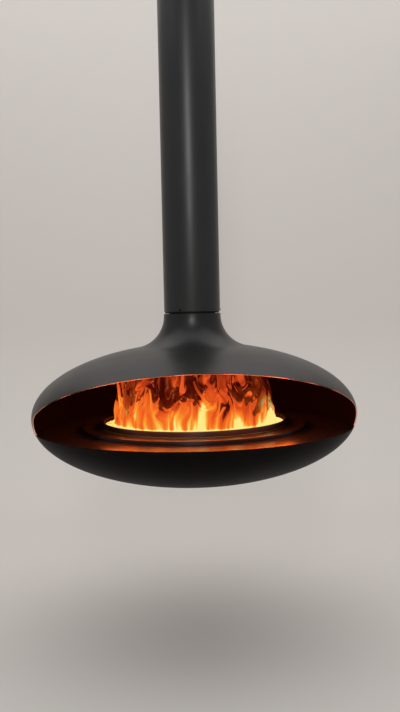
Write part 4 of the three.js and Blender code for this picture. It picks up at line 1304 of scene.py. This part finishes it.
@dataclass
class Fire:
    """The coals on the bricks and the grate, and the flames over them."""

    dresser: Dresser
    equator: float
    coal: GlowingCoal = GlowingCoal("glowing_coal")
    hot_ash: GlowingCoal = GlowingCoal("glowing_ash", char=(0.02, 0.015, 0.012), hotter=0.17)
    bed_inner: float = 0.182
    bed_outer: float = 0.318
    grate_bed: float = 0.118
    coal_radius: float = 0.015
    coal_spacing: float = 0.030
    ash_inner: float = 0.1695
    ash_edge: float = 0.0065
    ash_depth: float = 0.021
    side_end: float = 0.334
    side_fade: float = 0.040
    side_reach: float = 0.14
    sheet_columns: int = 200
    sheet_rows: int = 32
    lean: float = 0.030
    front_fade: float = 0.05
    flank_start: float = 0.19
    flank_width: float = 0.12
    shell_radius: float = 0.625
    dome_height: float = 0.275
    dome_gap: float = 0.016
    sheets: tuple[tuple[float, float], ...] = (
        (0.326, 0.262),
        (0.285, 0.275),
        (0.235, 0.265),
    )
    hot_places: tuple[tuple[float, float, float], ...] = (
        (0.285, 0.040, 1.0),
        (0.010, 0.012, 1.0),
        (-0.085, 0.016, 0.4),
    )

    def build(self) -> None:
        """Makes and dresses the coals and the flames."""
        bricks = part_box("fire_brick_1")[1].z
        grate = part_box("grate")[1].z
        self.dresser.dress(self.ash(bricks), self.hot_ash, Body.HEARTH)
        outer = self.coals("ember_bed", self.bed_inner, self.bed_outer, bricks + 0.008, 7)
        self.dresser.dress(outer, self.coal, Body.HEARTH)
        inner = self.coals("grate_embers", 0.004, self.grate_bed, grate, 19)
        self.dresser.dress(inner, self.coal, Body.GRATE)
        look = Flame("flame", foot=bricks + 0.003)
        for index, (radius, height) in enumerate(self.sheets, start=1):
            sheet = self.sheet(f"flame_sheet_{index}", radius, height, look.foot, index)
            sheet.visible_shadow = False
            self.dresser.dress(sheet, look, Body.HEARTH)

    def ash(self, level: float) -> bpy.types.Object:
        """The lumpy layer of glowing ash inside the tray's ring.

        Args:
            level: The top of the bricks.

        Returns:
            The object.
        """
        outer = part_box("fire_ring")[1].x - self.ash_edge
        angles = np.linspace(0.0, 2.0 * math.pi, 240, endpoint=False)
        radii = np.linspace(self.ash_inner, outer, 40)
        rows = [np.full_like(angles, level + 0.0006) for _ in range(2)]
        places = [self.ash_inner, outer]
        for radius in radii[::-1]:
            edge = min(1.0, (radius - self.ash_inner) / 0.02)
            lumps = np.array(
                [
                    noise.noise(Vector((radius * math.cos(a), radius * math.sin(a), 0.3)) * 60.0)
                    for a in angles
                ]
            )
            rows.append(level + self.ash_depth * (0.35 + 0.65 * edge) + 0.0035 * lumps)
            places.append(radius)
        reach = np.array(places)[:, None]
        points = np.stack([reach * np.cos(angles), reach * np.sin(angles), np.array(rows)], axis=-1)
        return add_object("ash_bed", shaded(closed_grid("ash_bed", points, True), 60.0))

    def coals(
        self, name: str, inner: float, outer: float, level: float, seed: int
    ) -> bpy.types.Object:
        """Coals spread over a round bed.

        Args:
            name: The new object's name.
            inner: The bed's inner radius.
            outer: Its outer radius.
            level: What the coals lie on.
            seed: Sets where they lie.

        Returns:
            The object.
        """
        growth = Growth(f"{name}_spread")
        radius = growth.size("Coal Radius", "Float", self.coal_radius)
        spacing = growth.size("Spacing", "Float", self.coal_spacing)
        lump = growth.size("Lumpiness", "Float", 0.006)
        spread = growth.node(
            "GeometryNodeDistributePointsOnFaces",
            {"distribute_method": "POISSON"},
            {
                "Mesh": growth.source.outputs["Geometry"],
                "Distance Min": spacing,
                "Density Max": 4000.0,
                "Seed": seed,
            },
        )
        ball = growth.node("GeometryNodeMeshIcoSphere", {}, {"Radius": radius, "Subdivisions": 3})
        turn = growth.node(
            "FunctionNodeRandomValue",
            {"data_type": "FLOAT_VECTOR"},
            {0: (0.0, 0.0, 0.0), 1: (6.28, 6.28, 6.28), "Seed": seed + 1},
        )
        stretch = growth.node(
            "FunctionNodeRandomValue",
            {"data_type": "FLOAT_VECTOR"},
            {0: (0.85, 0.6, 0.55), 1: (1.25, 1.0, 0.8), "Seed": seed + 2},
        )
        placed = growth.node(
            "GeometryNodeInstanceOnPoints",
            {},
            {
                "Points": spread.outputs["Points"],
                "Instance": ball.outputs["Mesh"],
                "Rotation": turn.outputs[0],
                "Scale": stretch.outputs[0],
            },
        )
        real = growth.node("GeometryNodeRealizeInstances", {}, {"Geometry": placed.outputs[0]})
        rough = growth.node("ShaderNodeTexNoise", {}, {"Scale": 62.0, "Detail": 2.0})
        normal = growth.node("GeometryNodeInputNormal", {}, {}).outputs[0]
        amount = growth.math("MULTIPLY", growth.math("SUBTRACT", rough.outputs[0], 0.5), lump)
        push = growth.node(
            "ShaderNodeVectorMath", {"operation": "SCALE"}, {0: normal, "Scale": amount}
        )
        lumpy = growth.node(
            "GeometryNodeSetPosition", {}, {"Geometry": real.outputs[0], "Offset": push.outputs[0]}
        )
        bed = self.bed_mesh(f"{name}_floor", inner, outer, level + self.coal_radius * 0.72)
        made = growth.grown(lumpy.outputs[0], bed, name, self.dresser.finish(self.coal))
        floor = level + 0.0006
        for vertex in made.data.vertices:
            vertex.co.z = max(vertex.co.z, floor + 0.02 * (vertex.co.z - level))
        shaded(made.data, 60.0)
        return made

    @staticmethod
    def bed_mesh(name: str, inner: float, outer: float, level: float) -> bpy.types.Mesh:
        """A flat ring for the coals to be spread over."""
        angles = np.linspace(0.0, 2.0 * math.pi, 48, endpoint=False)
        built = bmesh.new()
        loops = [
            [built.verts.new((r * math.cos(a), r * math.sin(a), level)) for a in angles]
            for r in (inner, outer)
        ]
        for index in range(len(angles)):
            after = (index + 1) % len(angles)
            built.faces.new(
                (loops[0][index], loops[1][index], loops[1][after], loops[0][after])
            )
        mesh = bpy.data.meshes.new(name)
        built.to_mesh(mesh)
        built.free()
        return mesh

    def sheet(
        self, name: str, radius: float, height: float, foot: float, seed: int
    ) -> bpy.types.Object:
        """A round sheet of flame that wavers as it rises.

        Args:
            name: The sheet's name.
            radius: Its distance from the axis at its foot.
            height: How high its tallest flames reach over the bricks.
            foot: The level that it rises from.
            seed: Sets its own waver.

        Returns:
            The object.
        """
        columns, rows = self.sheet_columns, self.sheet_rows
        phases = np.random.default_rng(seed).uniform(0.0, 2.0 * math.pi, 4)
        angles, shares = np.meshgrid(
            np.linspace(0.0, 2.0 * math.pi, columns, endpoint=False),
            np.linspace(0.0, 1.0, rows + 1),
        )
        side = (self.side_end - np.abs(np.cos(angles)) * radius) / self.side_fade
        side = np.clip(side, 0.0, 1.0)
        ragged = 1.0 + 0.12 * np.sin(9 * angles + phases[2])
        ragged += 0.08 * np.sin(17 * angles + phases[3])
        swell = side**2 * (3.0 - 2.0 * side)
        reach = height * ragged * (self.side_reach + (1.0 - self.side_reach) * swell)
        dome = self.dome_height * math.sqrt(1.0 - (radius / self.shell_radius) ** 2)
        reach = np.minimum(reach, self.equator + dome - self.dome_gap - foot)
        waver = 0.016 * np.sin(7 * angles + phases[0] + 5.0 * shares)
        waver += 0.009 * np.sin(13 * angles + phases[1] - 7.0 * shares)
        away = radius + (waver - self.lean) * shares
        points = np.stack(
            [away * np.cos(angles), away * np.sin(angles), foot + shares * reach], axis=-1
        )
        across = points[..., 0]
        heat = sum(
            amount * np.exp(-(((across - place) / width) ** 2))
            for place, width, amount in self.hot_places
        ) * np.clip(points[..., 1] / -self.front_fade, 0.0, 1.0)
        faces = [
            (
                row * columns + column,
                row * columns + (column + 1) % columns,
                (row + 1) * columns + (column + 1) % columns,
                (row + 1) * columns + column,
            )
            for row in range(rows)
            for column in range(columns)
        ]
        mesh = bpy.data.meshes.new(name)
        mesh.from_pydata(points.reshape(-1, 3).tolist(), [], faces)
        flank = np.clip((np.abs(across) - self.flank_start) / self.flank_width, 0.0, 1.0)
        for label, values in (("reach", reach), ("ardour", heat), ("flank", flank)):
            attribute = mesh.attributes.new(label, "FLOAT", "POINT")
            attribute.data.foreach_set("value", values.astype(np.float32).ravel())
        mesh.shade_smooth()
        return add_object(name, mesh)


# ------------------------------------------------------------------------------------- flue


@dataclass
class Flue:
    """The pipe, its liner, its ceiling fixing and its screws."""

    dresser: Dresser
    looks: Looks
    tube_wall: float = 0.003
    rosette_sheet: float = 0.002
    screw_count: int = 3
    first_screw: float = math.radians(242.0)
    screw_radius: float = 0.0025
    screw_head: float = 0.004
    screw_head_height: float = 0.0025

    def build(self) -> None:
        """Makes and dresses the flue."""
        dress, looks = self.dresser.dress, self.looks
        low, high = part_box("carrying_tube")
        profile = box_ring(high.x - self.tube_wall, high.x, low.z, high.z)
        pipe = turned("flue_pipe", rounded(profile, 0.0007), 160)
        dress(pipe, looks.pipe_paint, Body.PIPE, Slot.PIPE, ["carrying_tube"])
        dress(self.rosette(), looks.pipe_paint, Body.PIPE, Slot.PIPE, ["rosette"])
        screws = [f"pipe_screw_{number}" for number in range(1, self.screw_count + 1)]
        dress(self.screws(), looks.blackened, Body.PIPE, Slot.STAINLESS, screws)
        soften = self.dresser.soften
        soften("rosette_collar", looks.pipe_paint, Body.PIPE, Slot.PIPE, 0.0008)
        soften("ceiling_plate", looks.zinc, Body.PIPE, Slot.STEEL, 0.0008)
        soften("tube_flange", looks.zinc, Body.PIPE, Slot.STEEL, 0.0008)
        soften("rosette_screw", looks.blackened, Body.PIPE, Slot.STEEL)
        for number in range(1, 5):
            soften(f"flange_bolt_{number}", looks.zinc, Body.PIPE, Slot.STEEL)
        soften("smoke_liner", looks.stainless, Body.PIPE, Slot.STAINLESS, 0.0003)
        soften("liner_spacer_upper", looks.zinc, Body.PIPE, Slot.STEEL)
        soften("liner_spacer_lower", looks.zinc, Body.PIPE, Slot.STEEL)

    def rosette(self) -> bpy.types.Object:
        """The cup over the ceiling plate, spun from sheet."""
        low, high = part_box("rosette")
        sheet = self.rosette_sheet
        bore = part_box("carrying_tube")[1].x + 0.0003
        profile = [
            (bore, low.z),
            (high.x, low.z),
            (high.x, high.z),
            (high.x - sheet, high.z),
            (high.x - sheet, low.z + sheet),
            (bore, low.z + sheet),
        ]
        return turned("ceiling_rosette", rounded(profile, 0.0009), 160)

    def screws(self) -> bpy.types.Object:
        """The three button-head socket screws through the pipe's foot."""
        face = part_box("carrying_tube")[1].x + 0.0003
        low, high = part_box("pipe_screw_1")
        level = (low.z + high.z) / 2.0
        head, height = self.screw_head, self.screw_head_height
        rows = [
            (0.0, -0.0160, False),
            (self.screw_radius, -0.0160, False),
            (self.screw_radius, 0.0, False),
            (head, 0.0, False),
            (head, height * 0.35, False),
            (head * 0.90, height * 0.70, False),
            (head * 0.72, height * 0.93, False),
            (head * 0.52, height, False),
            (head * 0.36, height, True),
            (head * 0.36, height * 0.45, True),
            (0.0, height * 0.40, False),
        ]
        angles = np.linspace(0.0, 2.0 * math.pi, 24, endpoint=False)
        sixth = (angles + math.pi / 6) % (math.pi / 3) - math.pi / 6
        points = []
        for radius, along, hexagon in rows:
            radii = radius * (math.cos(math.pi / 6) / np.cos(sixth) if hexagon else 1.0)
            radii = radii * 1.12 if hexagon else radii
            place = np.full_like(angles, face + along)
            points.append(
                np.stack([place, radii * np.cos(angles), level + radii * np.sin(angles)], axis=-1)
            )
        item = shaded(closed_grid("socket_screw", np.stack(points), False), 35.0)
        finish = self.dresser.finish(self.looks.blackened)
        return repeated_round("pipe_screws", item, self.screw_count, self.first_screw, finish)


@dataclass
class Swivel:
    """The ball bearing in the neck, its hub and the rope seal under it."""

    dresser: Dresser
    looks: Looks
    ball_count: int = 8
    ball_radius: float = 0.0045
    ball_pitch: float = 0.098

    def build(self) -> None:
        """Makes and dresses the swivel."""
        looks, soften = self.looks, self.dresser.soften
        soften("swivel_hub", looks.blackened, Body.PIPE, Slot.STEEL)
        soften("bearing_nut", looks.zinc, Body.PIPE, Slot.STEEL)
        soften("lower_race", looks.ground, Body.PIPE, Slot.STEEL, 0.0)
        soften("upper_race", looks.ground, Body.HEARTH, Slot.STEEL, 0.0)
        soften("neck_ring", looks.blackened, Body.HEARTH, Slot.STEEL)
        soften("smoke_seal", looks.rope, Body.HEARTH, Slot.ROPE, 0.0)
        soften("ball_cage", looks.bronze, Body.BEARING, Slot.BRONZE, 0.0002)
        names = [f"bearing_ball_{number:02d}" for number in range(1, self.ball_count + 1)]
        self.dresser.dress(self.balls(), looks.ground, Body.BEARING, Slot.STAINLESS, names)

    def balls(self) -> bpy.types.Object:
        """The balls in their cage."""
        low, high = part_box("bearing_ball_01")
        level = (low.z + high.z) / 2.0
        built = bmesh.new()
        place = Matrix.Translation((self.ball_pitch, 0.0, level))
        bmesh.ops.create_icosphere(built, subdivisions=3, radius=self.ball_radius, matrix=place)
        item = bpy.data.meshes.new("bearing_ball")
        built.to_mesh(item)
        built.free()
        item.shade_smooth()
        finish = self.dresser.finish(self.looks.ground)
        first = math.pi / self.ball_count
        return repeated_round("bearing_balls", item, self.ball_count, first, finish)


@dataclass
class Damper:
    """The smoke collar in the throat and the disc that turns in it."""

    dresser: Dresser
    looks: Looks

    def build(self) -> None:
        """Makes and dresses the damper."""
        looks, soften = self.looks, self.dresser.soften
        soften("smoke_collar", looks.sooty, Body.HEARTH, Slot.DAMPER, 0.0006)
        for side in ("front", "rear"):
            soften(f"damper_bush_{side}", looks.bronze, Body.HEARTH, Slot.BRONZE, 0.0003)
            soften(f"shaft_clip_{side}", looks.zinc, Body.DAMPER, Slot.STEEL, 0.0002)
            soften(f"disc_screw_{side}", looks.stainless, Body.DAMPER, Slot.STAINLESS, 0.0003)
        soften("damper_shaft", looks.stainless, Body.DAMPER, Slot.STAINLESS, 0.0004)
        soften("damper_disc", looks.iron, Body.DAMPER, Slot.IRON, 0.0005)
        soften("damper_lever", looks.sooty, Body.DAMPER, Slot.DAMPER, 0.0006)
        soften("lever_screw", looks.stainless, Body.DAMPER, Slot.STAINLESS, 0.0004)
        soften("damper_knob", looks.sooty, Body.DAMPER, Slot.DAMPER, 0.0015)


# ----------------------------------------------------------------------------------- studio


@dataclass
class Studio:
    """The floor, the backdrop, the lights and the camera of the photograph."""

    equator: float
    equator_over_floor: float = 0.8638
    camera_place: tuple[float, float] = (0.0269, -3.1141)
    camera_over_floor: float = 1.2616
    hearth_yaw: float = math.radians(4.0)
    pitch: float = math.radians(3.265)
    roll: float = math.radians(-1.2)
    focal_pixels: float = 800.4
    picture_height: float = 712.0
    sensor: float = 36.0
    room_reach: float = 9.0
    sweep_start: float = 1.6
    sweep_radius: float = 1.2
    sweep_steps: int = 12
    wall_height: float = 8.0
    wall_colour: tuple[float, float, float] = (0.75, 0.70, 0.66)
    sky_colour: tuple[float, float, float] = (0.96, 0.98, 1.0)
    sky_strength: float = 0.42
    fire_colour: tuple[float, float, float] = (1.0, 0.14, 0.015)
    fire_light_size: float = 0.025

    def build(self) -> None:
        """Makes the studio."""
        self.floor_level = self.equator - self.equator_over_floor
        self.around = Matrix.Rotation(-self.hearth_yaw, 4, "Z")
        self.camera()
        self.room()
        self.room_lights()
        self.fire_lights()

    def camera(self) -> None:
        """The camera where the photograph was taken."""
        data = bpy.data.cameras.new("camera")
        data.sensor_fit = "AUTO"
        data.sensor_width = self.sensor
        data.lens = self.focal_pixels / self.picture_height * self.sensor
        camera = bpy.data.objects.new("camera", data)
        x, y = self.camera_place
        level = self.floor_level + self.camera_over_floor
        aim = Matrix.Rotation(math.pi / 2 - self.pitch, 4, "X")
        tilt = Matrix.Rotation(self.roll, 4, "Z")
        camera.matrix_world = self.around @ Matrix.Translation((x, y, level)) @ aim @ tilt
        bpy.context.scene.collection.objects.link(camera)
        bpy.context.scene.camera = camera

    def room(self) -> None:
        """A pale floor that sweeps up into a pale wall, and the light of a pale room."""
        reach, start, bend = self.room_reach, self.sweep_start, self.sweep_radius
        profile = [(-reach, 0.0), (start, 0.0)]
        profile += [
            (start + bend * math.sin(a), bend - bend * math.cos(a))
            for a in np.linspace(0.1, math.pi / 2, self.sweep_steps)
        ]
        profile += [(start + bend, self.wall_height)]
        corners = [
            Vector((x, y, self.floor_level + z)) for y, z in profile for x in (-reach, reach)
        ]
        faces = [(2 * i, 2 * i + 1, 2 * i + 3, 2 * i + 2) for i in range(len(profile) - 1)]
        mesh = bpy.data.meshes.new("studio_sweep")
        mesh.from_pydata([self.around @ corner for corner in corners], [], faces)
        mesh.shade_smooth()
        sweep = add_object("studio_sweep", mesh)
        bench = Bench("studio_pale")
        # The sweep is see-through from its back, where it would hide the hearth.
        behind = bench.value("ShaderNodeNewGeometry", {}, {}, "Backfacing")
        mesh.materials.append(
            bench.finish(
                Base_Color=self.wall_colour,
                Roughness=0.9,
                Specular_IOR_Level=0.1,
                Alpha=1.0 - behind,
            )
        )
        world = bpy.data.worlds.new("pale_room")
        world.use_nodes = True
        background = world.node_tree.nodes["Background"]
        background.inputs["Color"].default_value = (*self.sky_colour, 1.0)
        background.inputs["Strength"].default_value = self.sky_strength
        bpy.context.scene.world = world

    def room_lights(self) -> None:
        """A ceiling of soft light and a window behind the camera."""
        self.soft_box("ceiling_light", (0.0, 0.6, 1.6), (0.0, 0.6, 0.0), (6.0, 5.0), 84.0)
        self.soft_box("window", (-0.1, -5.4, 0.3), (0.0, 0.0, -0.9), (0.7, 2.5), 68.0)

    def fire_lights(self) -> None:
        """Lights that stand in for the fire's own, and stay put when the hearth turns."""
        self.light_arc("firelight", 8, 2.0 * math.pi, 0.22, 0.045, 4.0)
        self.light_arc("glow", 28, math.radians(100.0), 0.44, 0.035, 0.30)

    def light_arc(
        self, name: str, count: int, span: float, radius: float, rise: float, power: float
    ) -> None:
        """Small warm lights in an arc round the fire, centred on the mouth.

        Args:
            name: What the lights are called.
            count: How many there are.
            span: The angle that they are spread over.
            radius: Their distance from the flue's axis.
            rise: Their height above the equator.
            power: The power of each in watts.
        """
        for number in range(count):
            angle = span * ((number + 0.5) / count - 0.5) - math.pi / 2.0
            data = bpy.data.lights.new(f"{name}_{number + 1}", "POINT")
            data.color = self.fire_colour
            data.energy = power
            data.shadow_soft_size = self.fire_light_size
            light = bpy.data.objects.new(data.name, data)
            x, y = radius * math.cos(angle), radius * math.sin(angle)
            light.location = (x, y, self.equator + rise)
            light.visible_camera = False
            bpy.context.scene.collection.objects.link(light)

    def soft_box(
        self,
        name: str,
        place: tuple[float, float, float],
        aim: tuple[float, float, float],
        size: tuple[float, float],
        power: float,
    ) -> None:
        """An oblong light.

        Args:
            name: Its name.
            place: Where it stands, as the camera sees the room.
            aim: What it faces.
            size: Its width and height.
            power: Its power in watts.
        """
        data = bpy.data.lights.new(name, "AREA")
        data.shape = "RECTANGLE"
        data.size, data.size_y = size
        data.energy = power
        light = bpy.data.objects.new(name, data)
        turn = (Vector(aim) - Vector(place)).to_track_quat("-Z", "Y").to_matrix().to_4x4()
        light.matrix_world = self.around @ Matrix.Translation(place) @ turn
        light.visible_camera = False
        bpy.context.scene.collection.objects.link(light)


def main() -> None:
    """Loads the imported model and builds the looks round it."""
    logging.basicConfig(level=logging.INFO, format="%(message)s")
    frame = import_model()
    bpy.context.scene.view_settings.view_transform = "Standard"
    dresser, looks = Dresser(frame), Looks()
    shell = HearthShell(dresser, looks)
    Studio(shell.equator).build()
    shell.build()
    FireBed(dresser, looks).build()
    Fire(dresser, shell.equator).build()
    Flue(dresser, looks).build()
    Swivel(dresser, looks).build()
    Damper(dresser, looks).build()
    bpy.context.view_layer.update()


if __name__ == "__main__":
    main()
